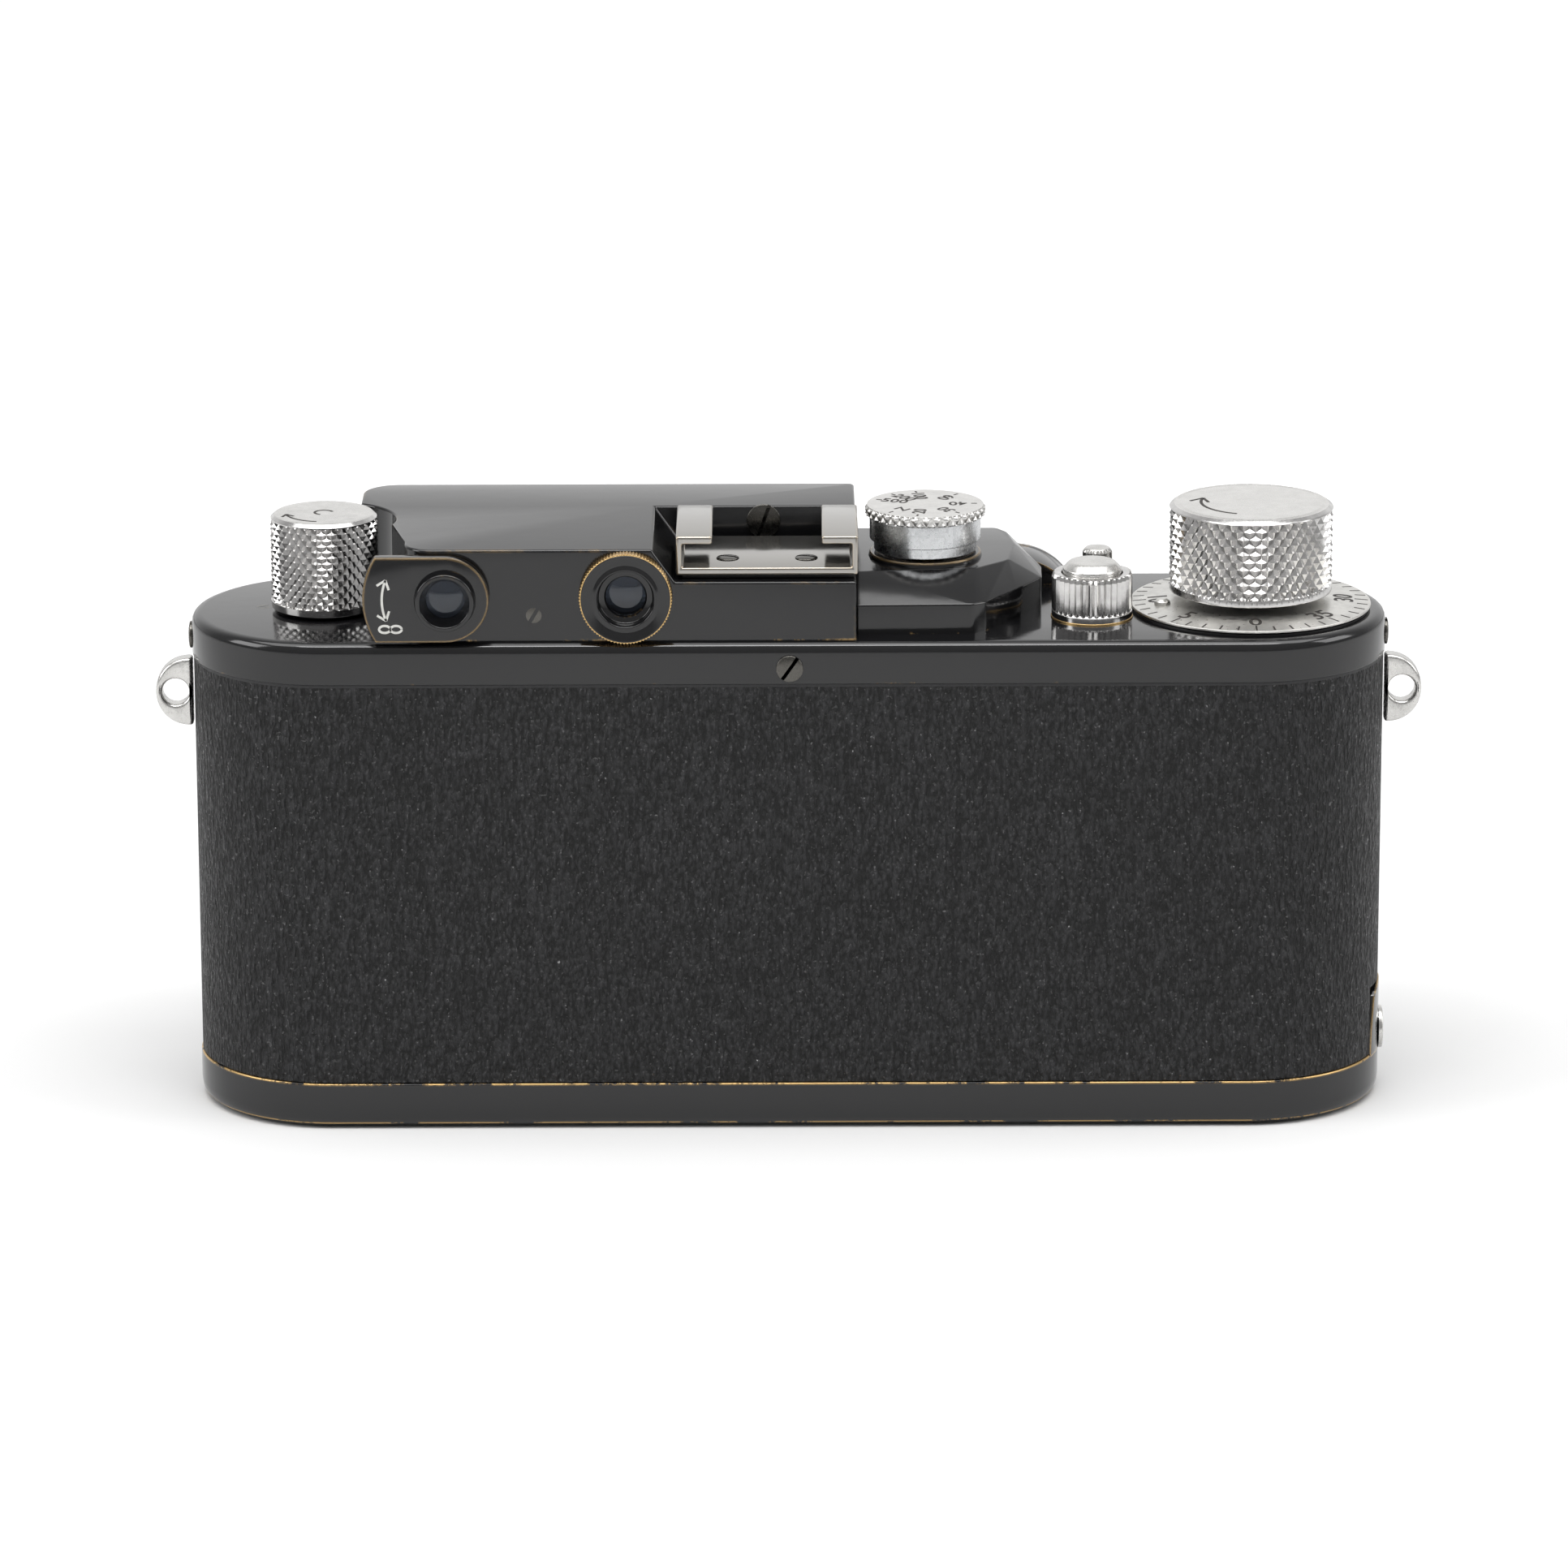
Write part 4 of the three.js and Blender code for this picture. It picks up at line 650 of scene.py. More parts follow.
def base():
    skin = [(FRONT, 0), (0, 0, 1.9), (0, TRAY_TOP, 0.18), (0.85, TRAY_TOP, 0.1), (0.85, 1.0), (FRONT, 1.0)]
    tray = around_plan("base_tray", skin, BASE_ENAMEL, closed=False)
    key, bush = middle("base_key"), middle("tripod_bush")
    holes = [disc("key_hole", 8.12, -1, 1.5, key, BASE_ENAMEL),
        disc("bush_hole", 5.55, -1, 1.5, bush, BASE_ENAMEL)]
    belongs(boolean(tray, holes), "base", "enamel", "base_plate")
    points, faces = [], []
    rows, columns = 18, 24
    for layer in (0.0, 0.85):
        for i in range(rows + 1):
            t = i / rows
            z = TRAY_TOP - 0.3 + (EAR_TOP - TRAY_TOP + 0.3) * t
            half = 5.9 - 1.5 * min(t, 0.75) ** 2
            if t >= 0.75:
                half *= sqrt(max(1 - ((t - 0.75) / 0.25) ** 3, 0.02))
            for j in range(columns + 1):
                across = half * (2 * j / columns - 1)
                radius = FRONT - layer
                points.append((ARC_X + sqrt(radius ** 2 - across ** 2), across, z))
    size = (rows + 1) * (columns + 1)
    at = lambda layer, i, j: layer * size + i * (columns + 1) + j
    for i in range(rows):
        for j in range(columns):
            for layer in (0, 1):
                faces.append((at(layer, i, j), at(layer, i, j + 1), at(layer, i + 1, j + 1),
                    at(layer, i + 1, j)))
        for j in (0, columns):
            faces.append((at(0, i, j), at(0, i + 1, j), at(1, i + 1, j), at(1, i, j)))
    for j in range(columns):
        for i in (0, rows):
            faces.append((at(0, i, j), at(0, i, j + 1), at(1, i, j + 1), at(1, i, j)))
    belongs(softened(mesh_object("base_ear", points, faces, WORN_ENAMEL), 0.15, 2, 50), "base", "enamel")
    stud = middle("base_stud")
    cap = revolved("base_stud_cap", [(0, 66.5), (2.4, 66.5), (2.4, 66.95, 0.2), (1.9, 67.0), (1.7, 66.8),
        (0, 66.8)], stud, NICKEL, "X", 48)
    belongs(cap, "base", "nickel", "base_stud")
    bush_ring = revolved("tripod_socket", [(0, 5.2), (3.2, 5.2), (3.2, 0.1, 0.2), (5.45, 0.02, 0.3),
        (5.45, 1.0), (7, 1.0), (7, 1.8), (5.45, 1.8), (5.45, 6), (0, 6)], bush, STEEL)
    belongs(bush_ring, "base", "steel", "tripod_bush")


def lock_key():
    key = middle("base_key")
    face = 0.3
    plate = revolved("lock_key_disc", [(0, face + 0.65), (4.6, face + 0.65), (4.6, face, 0.1), (5.0, face),
        (5.0, face + 0.65), (6.9, face + 0.65), (6.9, face), (8.0, face, 0.2), (8.0, 1.1), (9.5, 1.1),
        (9.5, 1.9), (3, 1.9), (3, 4.5), (0, 4.5)], key, NICKEL)
    belongs(plate, "key", "nickel", "base_key")
    outer, inner = 6.75, 5.1
    outline = arc(key.x, 0, outer, 180, 360, 40) + arc(key.x, 0, inner, 360, 180, 40)
    bow = prism("lock_key_bow", outline, face + 0.02, face + 0.45, NICKEL)
    belongs(softened(bow, 0.1, 2), "bow", "nickel", "base_key_bow")


def strap_lugs():
    for side, node in ((1, "strap_lug_right"), (-1, "strap_lug_left")):
        low, high = node_box(node)
        z = (low.z + high.z) / 2
        wall = FRONT + ARC_X
        eye = wall + 1.95
        turns = [radians(t) for t in range(-90, 91, 6)]
        outline = [(wall + 0.02 + 4.15 * max(cos(t), 0) ** 0.85, 3.88 * sin(t)) for t in turns]
        lug = prism("lug", [(x, z + h) for x, h in outline], -1.15, 1.15, NICKEL, "Y")
        hole = disc("eye", 1.5, -3, 3, (eye, 0, z), NICKEL, "Y", 40)
        lug = softened(boolean(lug, [hole]), 0.5, 4)
        lug.name = "strap_eye_right" if side > 0 else "strap_eye_left"
        belongs(lug if side > 0 else mirrored(lug), "body", "nickel", node)


def slotted_screw(name, node, radius, place, facing, mat=None, turn=25, domed=0.12):
    """A cheese-head screw, built at the origin facing +Z and turned into place."""
    head = revolved(name, [(0, 0), (radius, 0), (radius, 0.28, 0.12), (radius * 0.6, 0.28 + domed),
        (0, 0.3 + domed)], (0, 0, 0), mat or DARK_STEEL, steps=40)
    slot = block("slot", (-radius * 1.2, -0.2, 0.02), (radius * 1.2, 0.2, 1.0), DARK)
    head = boolean(head, [slot])
    lean = Vector((0, 0, 1)).rotation_difference(Vector(facing)).to_matrix().to_4x4()
    moved(head, shift(*place) @ lean @ spin(radians(turn)))
    belongs(finished(head), "body", "nickel", *([node] if node else []))


def screws():
    z = middle("skirt_screw_back").z
    wall = FRONT + ARC_X
    slotted_screw("skirt_screw_head", "skirt_screw_back", 1.5, (0.1, -FRONT + 0.02, z), (0, -1, 0), turn=55)
    for side, name in ((1, "right"), (-1, "left")):
        slotted_screw(f"end_screw_{name}", f"skirt_screw_{name}", 1.5, (side * (wall - 0.02), 0, z),
            (side, 0, 0))
    slotted_screw("housing_screw_head", "housing_screw", 1.45, (middle("housing_screw").x,
        HOUSE_LOW.y + 0.4, HOUSING_SCREW_Z), (0, -1, 0), turn=60)
    shelf_wall = node_box("finder_adjust_screw")[1].y - 2.2
    place = (middle("finder_adjust_screw").x, shelf_wall + 0.02, middle("finder_adjust_screw").z)
    slotted_screw("adjusting_screw", "finder_adjust_screw", 1.9, place, (0, -1, 0), turn=70)
    for side in ("left", "right"):
        spot = middle(f"shoe_screw_{side}")
        slotted_screw(f"shoe_screw_head_{side}", f"shoe_screw_{side}", 1.25,
            (spot.x, spot.y, node_box("accessory_shoe")[0].z + 1.2), (0, 0, 1), turn=-15)
    slotted_screw("plate_screw", None, 1.5, (-58.5, 0.9, TOP - 0.3), (0, 0, 1), turn=30, domed=0.02)
    for angle in (45, 135, 225, 315):
        turn = radians(angle)
        place = (LENS.x + FLANGE_SCREW_CIRCLE * cos(turn), FRONT + 1.35,
            LENS.z + FLANGE_SCREW_CIRCLE * sin(turn))
        slotted_screw(f"flange_screw_{angle}", None, 0.9, place, (0, 1, 0), NICKEL, angle, 0.02)


# ------------------------------------------------------------ finder housing

def housing_outline():
    """The housing's plan: square at the right, hollowed round the rewind knob at the left."""
    left, right, back, front = HOUSE_LOW.x, HOUSE_HIGH.x, HOUSE_LOW.y, HOUSE_HIGH.y
    start = degrees(acos((left - REWIND.x) / REWIND_RELIEF))
    shape = [(right, back)] + arc(right - 0.8, front - 0.8, 0.8, 0, 90, 5)
    shape += arc(left + 4, front - 4, 4, 90, 180, 14)
    shape += arc(REWIND.x, 0, REWIND_RELIEF, start, -17, 22)
    corner = REWIND.x + 9.4
    return shape + [(corner, back + 4.2)] + arc(corner + 3.2, back + 3.2, 3.2, 180, 270, 12)


def finder_housing():
    shelf = node_box("accessory_shoe")[0].z
    high, right = HOUSE_HIGH.z, HOUSE_HIGH.x
    back, front = HOUSE_LOW.y, HOUSE_HIGH.y
    house = prism("finder_cover", housing_outline(), TOP - 0.6, high, HOUSE_ENAMEL)
    left = right - RECESS_WIDTH
    recess = [(left, shelf), (right + 2, shelf), (right + 2, high + 1), (left - 3.0, high + 1),
        (left - 2.3, high - 0.4)]
    tools = [prism("recess", recess, back - 2, 5.4, HOUSE_ENAMEL, "Y")]
    house = softened(boolean(house, tools), 0.95, 5)
    trim = block("trim", (-90, -40, 0), (90, 40, TOP), HOUSE_ENAMEL)
    hollow = block("hollow", (REWIND.x + 12, back + 1.1, TOP - 5), (left - 4, front - 1.1, high - 1.1),
        DARK)
    under = block("under", (left - 5, back + 1.1, TOP - 5), (right - 1.1, front - 1.1, shelf - 1.1), DARK)
    holes = [disc("hole", 3.1, back - 2, back + 3, (RANGE_X, 0, EYE_Z), DARK, "Y"),
        disc("hole", 3.0, back - 2, back + 3, (VIEW_X, 0, EYE_Z), DARK, "Y")]
    for x in (RANGE_X, middle("rangefinder_window_right").x):
        holes.append(disc("hole", 3.5, front - 3, front + 2, (x, 0, EYE_Z), DARK, "Y"))
    low, top = node_box("viewfinder_front_window")
    holes.append(block("hole", (low.x - 0.1, front - 3, low.z - 0.1), (top.x + 0.1, front + 2, top.z + 0.1),
        DARK))
    house = finished(boolean(house, [trim, hollow, under, *holes]), 32)
    belongs(house, "body", "enamel", "finder_housing")


def finder_windows():
    front = HOUSE_HIGH.y
    for side in ("left", "right"):
        node = f"rangefinder_window_{side}"
        place = middle(node)
        pane = revolved(f"range_pane_{side}", [(0, front - 1), (3.35, front - 1), (3.35, front - 0.35, 0.1),
            (0, front - 0.3)], place, WINDOW_GLASS, "Y")
        belongs(pane, "body", "glass", node)
        rim = revolved(f"range_rim_{side}", [(3.5, front - 0.6), (4.3, front - 0.05),
            (4.3, front + 0.25, 0.1), (3.7, front + 0.25, 0.1), (3.38, front - 0.3)], place, NICKEL, "Y")
        belongs(rim, "body", "nickel")
    low, high = node_box("viewfinder_front_window")
    pane = prism("viewfinder_pane", [(low.x, low.z), (high.x, low.z), (high.x, high.z), (low.x, high.z)],
        front - 1.0, front - 0.35, WINDOW_GLASS, "Y")
    belongs(softened(pane, 0.12, 2), "body", "glass", "viewfinder_front_window")


def viewfinder_eyepiece():
    face = HOUSE_LOW.y
    outer = face - 1.7
    place = (VIEW_X, 0, EYE_Z)
    rim = revolved("eyepiece_rim", [(4.8, face - 0.1), (5.14, face - 0.1, 0.1), (5.14, outer + 0.12, 0.1),
        (4.8, outer + 0.12)], place, BARE_BRASS, "Y", 540, relief=ribs(88, 0.17, 5), fine=0.4)
    belongs(rim, "body", "nickel")
    cup = revolved("eyepiece_funnel", [(2.2, face - 0.2), (2.35, face - 0.4), (3.0, outer + 1.15, 0.3),
        (3.15, outer - 0.05, 0.35), (3.75, outer + 0.25, 0.3), (4.92, outer, 0.12), (4.92, face - 0.02),
        (2.9, face - 0.02), (2.9, face + 2.3), (2.7, face + 2.3), (2.7, face + 0.8), (2.2, face + 0.8)],
        place, BODY_ENAMEL, "Y", 128)
    belongs(cup, "body", "nickel", "viewfinder_eyepiece")
    lens = revolved("eyepiece_glass", [(0, face + 0.45), (1.3, face + 0.55), (2.6, face + 0.9),
        (2.6, face + 2.1), (0, face + 2.2)], place, EYE_GLASS, "Y")
    belongs(lens, "body", "glass", "viewfinder_eye_lens")
    # A dark disc behind the eye lens: painted shade standing in for the shaded inside of the finder.
    back = disc("viewfinder_throat", 2.55, face + 2.4, face + 2.7, place,
        plain("throat_painted_shade", (0.035, 0.036, 0.038), 0.4), "Y")
    belongs(back, "body", "enamel")


def range_eyepiece():
    inner = HOUSE_LOW.y - 0.3
    outer = inner - 1.5
    place = (RANGE_X, 0, EYE_Z)
    half = degrees(asin(4.8 / 9.05))
    outline = arc(RANGE_X, EYE_Z, 4.8, -90, 90, 28) + arc(RANGE_X, EYE_Z, 9.05, 180 - half, 180 + half, 20)
    arm = softened(prism("eyesight_lever", outline, outer, inner, LEVER_ENAMEL, "Y"), 0.16, 3)
    bore = disc("bore", 3.0, outer - 4, inner + 4, place, WORN_ENAMEL, "Y")
    arm = finished(boolean(arm, [bore]))
    belongs(arm, "diopter", "enamel", "diopter_lever")
    cup = outer - 1.45
    funnel = revolved("range_eye_cup", [(2.15, outer + 0.3), (2.45, outer - 0.5, 0.2), (2.75, cup, 0.2),
        (3.2, cup + 0.03, 0.2), (3.4, outer - 0.3), (3.4, outer - 0.02), (3.0, outer + 0.2),
        (2.95, HOUSE_LOW.y + 2), (2.15, HOUSE_LOW.y + 2)], place, BODY_ENAMEL, "Y", 96)
    belongs(funnel, "diopter", "enamel")
    lens = revolved("range_eye_glass", [(0, outer + 0.1), (1.2, outer + 0.2), (2.1, outer + 0.45),
        (2.1, outer + 1.3), (0, outer + 1.3)], place, EYE_GLASS, "Y")
    belongs(lens, "diopter", "glass", "rangefinder_eye_lens")
    # A dark disc behind the eye lens: painted shade standing in for the shaded inside of the rangefinder.
    back = disc("range_throat", 2.1, outer + 1.6, outer + 1.9, place,
        plain("range_painted_shade", (0.04, 0.043, 0.05), 0.4), "Y")
    belongs(back, "diopter", "enamel")
    curve = arc(-0.8, 0, 6.1, 158, 202, 14)
    sign = [curve] + arrow(curve[::-1], 1.15, 38) + arrow(curve, 1.15, 38)
    for side in (-1, 1):
        sign.append([(-6.0 + side * 0.62 + 0.62 * cos(t),
            -3.25 + 0.4 * sin(t)) for t in [pi * 2 * s / 18 for s in range(19)]])
    marks = strokes("eyesight_marks", sign, 0.26, 0, WHITE)
    stand = shift(RANGE_X, outer - 0.01, EYE_Z) @ spin(pi / 2, "X")
    belongs(finished(moved(marks, stand)), "diopter", "enamel")


def accessory_shoe():
    low, high = node_box("accessory_shoe")
    floor, rail, wall = low.z + 1.35, high.z - 0.9, 0.65
    inner = (high.x - low.x) / 2 - 6.0
    section = [(low.x, low.z + 0.5), (high.x, low.z + 0.5), (high.x, high.z), (high.x - inner, high.z),
        (high.x - inner, rail), (high.x - wall, rail), (high.x - wall, floor), (low.x + wall, floor),
        (low.x + wall, rail), (low.x + inner, rail), (low.x + inner, high.z), (low.x, high.z)]
    shoe = softened(prism("shoe_channel", section, low.y, high.y, SHOE_METAL, "Y"), 0.26, 3)
    belongs(shoe, "body", "enamel", "accessory_shoe")
    foot = block("shoe_foot", (low.x + 0.7, low.y + 0.8, low.z), (high.x - 0.4, high.y - 0.3, low.z + 0.55),
        DARK)
    belongs(softened(foot, 0.1, 2), "body", "enamel")


# ------------------------------------------------------------ controls on the top plate

def plinth_ring(pairs, z):
    return [(DIAL.x + a, b, z) for a, b in pairs]


def plinth():
    foot = [(-7.7, -11.9), (5.0, -11.6, 1.2), (6.5, -10.6, 1.2), (10.1, -4.9, 3), (13.0, 0.4, 3),
        (13.1, 5.0, 3), (11.7, 10.5, 3), (9.6, 13.6, 1.2), (-7.7, 13.6)]
    crown = [(-7.7, -7.4), (5.6, -6.0, 1.4), (9.2, -2.4, 2.6), (10.1, 4.8, 3), (9.3, 10.4, 2),
        (8.2, 12.2, 1), (-7.7, 12.2)]
    points = [Vector(p) * MM for p in plinth_ring(rounded(foot, True),
        TOP - 0.3) + plinth_ring(rounded(foot, True), TOP + 3.3) + plinth_ring(rounded(crown, True),
        TOP + 6.0)]
    bm = bmesh.new()
    for p in points:
        bm.verts.new(p)
    bmesh.ops.convex_hull(bm, input=bm.verts)
    bmesh.ops.dissolve_limit(bm, angle_limit=radians(3), verts=bm.verts, edges=bm.edges)
    mesh = bpy.data.meshes.new("dial_plinth")
    bm.to_mesh(mesh)
    bm.free()
    piece = linked("dial_plinth", mesh)
    mesh.materials.append(PLINTH_ENAMEL)
    piece = softened(piece, 0.85, 5, 14)
    boss = disc("boss_room", SLOW_BOSS + 0.12, FRONT - 6.32, FRONT + 9, SLOW, PLINTH_ENAMEL, "Y", 96)
    cut = block("foot_cut", (-90, -40, 0), (90, 40, TOP), PLINTH_ENAMEL)
    bore = disc("shaft_bore", 2.6, TOP - 2, TOP + 9, DIAL, PLINTH_ENAMEL)
    piece = finished(boolean(piece, [boss, cut, bore]), 24)
    belongs(piece, "body", "enamel", "speed_dial_plinth")
    seat = revolved("dial_seat", [(2.7, TOP + 6.2), (5.28, TOP + 6.2), (5.28, TOP + 6.55, 0.08),
        (6.18, TOP + 6.55, 0.2), (6.3, TOP + 6.0), (6.3, TOP + 5.7), (2.7, TOP + 5.7)], DIAL, WORN_ENAMEL,
        steps=128)
    belongs(seat, "body", "enamel")


def radial_sign(text, angle, inner, size, z, lean):
    """A number on the dial, turned so that it reads along or across the radius."""
    sign = numeral("dial_sign_" + text, text, size, INK)
    spot = shift(DIAL.x + inner * cos(angle), DIAL.y + inner * sin(angle), z)
    return moved(sign, spot @ spin(angle + lean))


def speed_dial():
    top = 67.85
    drum = revolved("dial_drum", [(3.5, 62.8), (5.7, 62.8, 0.15), (5.7, 63.95), (6.18, 64.05, 0.12),
        (6.18, 66.62, 0.1), (5.5, 66.65), (2.1, 66.65), (2.1, 65.9), (3.5, 65.9)], DIAL, DIAL_METAL,
        steps=128)
    belongs(drum, "dial", "nickel", "speed_dial_drum")
    cap = revolved("dial_cap", [(0, 66.66), (6.4, 66.66, 0.12), (6.76, 66.8, 0.1), (6.76, top - 0.22, 0.12),
        (6.45, top, 0.1), (5.9, top), (0, top)], DIAL, DIAL_TOP, steps=512, fine=0.14,
        relief=diamonds(34, 66.72, top - 0.12, 1.3, 0.34, 0.04), sharp=50)
    belongs(cap, "dial", "nickel", "speed_dial_cap")
    signs = []
    for text, bearing in (("Z", -135), ("20", -100), ("30", -50), ("40", 0), ("60", 50), ("100", 100),
            ("200", 130), ("500", 160)):
        angle = radians(bearing)
        signs.append(radial_sign(text, angle, 3.6, 2.05, top + 0.006, pi))
        tick = [(DIAL.x + r * cos(angle), r * sin(angle)) for r in (5.1, 5.75)]
        signs.append(strokes("tick", [tick], 0.22, top + 0.006, INK))
    belongs(joined("dial_numbers", signs), "dial", "nickel")
    collar = revolved("dial_clutch", [(2.15, 63.0), (3.3, 63.0), (3.3, 65.7), (2.15, 65.7)], DIAL, STEEL)
    belongs(collar, "dial_collar", "steel", "speed_dial_collar")


def slow_speeds():
    back, face = FRONT - 6.2, FRONT + 1.3
    place = (SLOW.x, 0, SLOW_CENTRE_Z)
    boss = revolved("slow_boss", [(1.75, FRONT), (SLOW_BOSS, FRONT - 0.2), (SLOW_BOSS, face, 0.5),
        (1.75, face)], place, HOUSE_ENAMEL, "Y", 128)
    hood = disc("slow_hood", SLOW_BOSS, back, FRONT + 0.4, place, HOUSE_ENAMEL, "Y", 128)
    under = block("under", (-90, -40, 0), (90, FRONT - 0.05, TOP), HOUSE_ENAMEL)
    through = disc("through", 1.75, back - 1, face + 1, place, HOUSE_ENAMEL, "Y")
    hood = finished(boolean(hood, [under, through]))
    whole = joined("slow_speed_boss", [boss, softened(hood, 0.3, 3)])
    belongs(whole, "body", "enamel", "slow_speed_housing")
    low = face + 0.1
    dial = revolved("slow_dial", [(0, low), (6.9, low, 0.15), (7.0, low + 0.3), (7.0, low + 1.85, 0.12),
        (6.7, low + 2.15, 0.1), (3.0, low + 2.2, 0.2), (2.6, low + 2.0), (0, low + 2.0)], place, KNURL, "Y",
        420, relief=ribs(70, 0.16, 6.8), fine=0.3)
    stem = disc("slow_stem", 1.5, FRONT + 0.15, low + 0.3, place, STEEL, "Y")
    pin = revolved("slow_pin", [(0, low + 2.0), (0.9, low + 2.0), (0.9, low + 2.85, 0.25), (0, low + 3.0)],
        (place[0] + 5.2, 0, place[2]), NICKEL, "Y", 40)
    belongs(joined("slow_speed_knob", [dial, stem, pin]), "slow", "nickel", "slow_speed_dial")
    signs = []
    for i, text in enumerate(("1", "2", "4", "8", "20")):
        angle = radians(60 + i * 42)
        sign = moved(numeral("slow_sign", text, 1.9, INK), spin(pi / 2, "X") @ spin(pi, "Y"))
        spot = shift(place[0] + 5.0 * cos(angle), low + 2.21, place[2] + 5.0 * sin(angle))
        signs.append(moved(sign, spot))
    belongs(joined("slow_numbers", signs), "slow", "nickel")


def release():
    collar = revolved("release_guard", [(3.39, TOP), (4.47, TOP), (4.47, TOP + 0.8, 0.1), (4.3, TOP + 0.88),
        (4.47, TOP + 0.96), (4.47, TOP + 4.6, 0.1), (4.3, TOP + 5.1, 0.3), (3.39, TOP + 5.1, 0.2)], RELEASE,
        KNURL, steps=432, fine=0.25, relief=ribs(36, 0.3, 4.2, TOP + 0.95))
    belongs(collar, "body", "nickel", "release_collar")
    foot = revolved("release_foot", [(4.4, TOP), (4.56, TOP), (4.55, TOP + 0.16, 0.05), (4.4, TOP + 0.2)],
        RELEASE, BARE_BRASS)
    belongs(foot, "body", "nickel")
    low, high = node_box("release_button")
    button = revolved("shutter_button", [(0, low.z), (2.0, low.z), (2.0, low.z + 1.2), (3.27, low.z + 1.2),
        (3.27, high.z - 0.9, 0.4), (2.55, high.z - 0.08, 0.8), (0, high.z)], RELEASE, BUTTON)
    belongs(button, "release", "nickel", "release_button")


def reversing():
    low, high = node_box("reversing_lever")
    pivot, head = REVERSING_PIVOT, REVERSING_HEAD
    along = (head - pivot).normalized()
    side = Vector((-along.y, along.x)) * 1.3
    corners = [pivot + side, head + side, head - side, pivot - side]
    arm = softened(prism("lever_arm", [tuple(c) for c in corners], low.z, low.z + 0.8, NICKEL), 0.12, 2)
    hub = revolved("lever_hub", [(0, low.z), (2.2, low.z), (2.2, low.z + 0.75, 0.15), (1.1, low.z + 1.1),
        (0, low.z + 1.1)], (*pivot, 0), NICKEL)
    knob = revolved("lever_head", [(0, low.z + 0.2), (1.3, low.z + 0.2), (1.3, low.z + 1.3),
        (1.67, low.z + 1.5, 0.1), (1.67, high.z - 0.6, 0.1), (1.35, high.z - 0.15, 0.25), (0, high.z)],
        (*head, 0), KNURL, steps=240, fine=0.2, relief=ribs(24, 0.15, 1.6))
    belongs(joined("reversing_arm", [arm, hub, knob]), "reversing", "nickel", "reversing_lever")


def knurled_knob(name, body, place, radius, skirt, crown, count, rows, depth, mat, face):
    """A knob with rows of diamonds between its skirt, measured up from its foot, and its crown, measured
    down from its top. Both are (radius, height[, fillet]), and mat covers the top out to radius face."""
    low, high = node_box(f"{body}_knob")
    start, end = low.z + skirt[-1][1], high.z - crown[0][1]
    tall = end - start
    knurl = diamonds(count, start, end, tall / rows, depth, 0.002)
    profile = [(0, low.z)] + [(r, low.z + h, *fillet) for r, h, *fillet in skirt]
    profile += [(r, high.z - h, *fillet) for r, h, *fillet in crown] + [(0, high.z)]
    knob = revolved(name, profile, place, KNURL, steps=16 * count,
                    relief=lambda a, h, r: knurl(a, h, r) if r > radius - 0.03 else 0,
                    fine=tall / (16 * rows + 0.5), sharp=28, knurl_foot=start)
    knob.data.materials.append(mat)
    for side in knob.data.polygons:
        centre = side.center / MM
        if centre.z > high.z - 0.2 and (centre.xy - place.xy).length < face:
            side.material_index = 1
    belongs(knob, body, "nickel", f"{body}_knob")
    return high.z


def wind_knob():
    skirt = [(8.6, 0, 0.1), (9.05, 0.2, 0.1), (9.1, 0.9)]
    crown = [(9.1, 0.45), (9.0, 0.32, 0.1), (8.55, 0.02, 0.1), (8.2, 0.12, 0.08), (7.9, 0, 0.05), (4.0, 0)]
    top = knurled_knob("winding_knob", "wind", WIND, 9.1, skirt, crown, 40, 5, 0.5, WIND_TOP, 8.7)
    curve = arc(WIND.x, WIND.y, 5.6, 250, 160, 22)
    lines = [curve] + arrow(curve, 2.0, 32)
    belongs(strokes("winding_arrow", lines, 0.34, top + 0.008, INK), "wind", "nickel")


def counter():
    foot = node_box("counter_dial")[0].z
    dial = revolved("frame_counter", [(2.24, foot), (13.2, foot, 0.1), (COUNTER_RIM, foot + 0.12),
        (COUNTER_RIM, foot + 0.35, 0.1), (COUNTER_HUB, foot + 0.35 + COUNTER_RISE), (2.24, foot + 1.1)],
        WIND, COUNTER_METAL, steps=192)
    pins = []
    for bearing in (193.5, 36):
        angle = radians(bearing)
        spot = (WIND.x + 10.2 * cos(angle), WIND.y + 10.2 * sin(angle), 0)
        pins.append(revolved("counter_pin", [(0, foot + 0.3), (0.9, foot + 0.3), (0.9, foot + 0.95, 0.3),
            (0.45, foot + 1.25, 0.3), (0, foot + 1.25)], spot, NICKEL, steps=40))
    belongs(joined("counter_disc", [dial, *pins]), "counter", "nickel", "counter_dial")
    peak = foot + 0.35 + COUNTER_RIM / (COUNTER_RIM - COUNTER_HUB) * COUNTER_RISE + 0.008
    slope = atan2(COUNTER_RISE, COUNTER_RIM - COUNTER_HUB)
    signs = []
    for mark in range(40):
        angle = radians(-90 - 9 * mark)
        reach = 1.5 if mark % 5 == 0 else 1.2
        line = strokes("tick", [[(13.15, 0), (13.15 - reach, 0)]], 0.2, 0, INK)
        lie = shift(WIND.x, WIND.y, peak) @ spin(angle) @ spin(slope, "Y")
        signs.append(moved(line, lie))
        if mark % 5 == 0:
            sign = numeral(f"count_{mark}", str(mark), 3.1, INK)
            signs.append(moved(sign, lie @ shift(10.5, 0, 0) @ spin(pi / 2)))
    belongs(joined("counter_numbers", signs), "counter", "nickel")


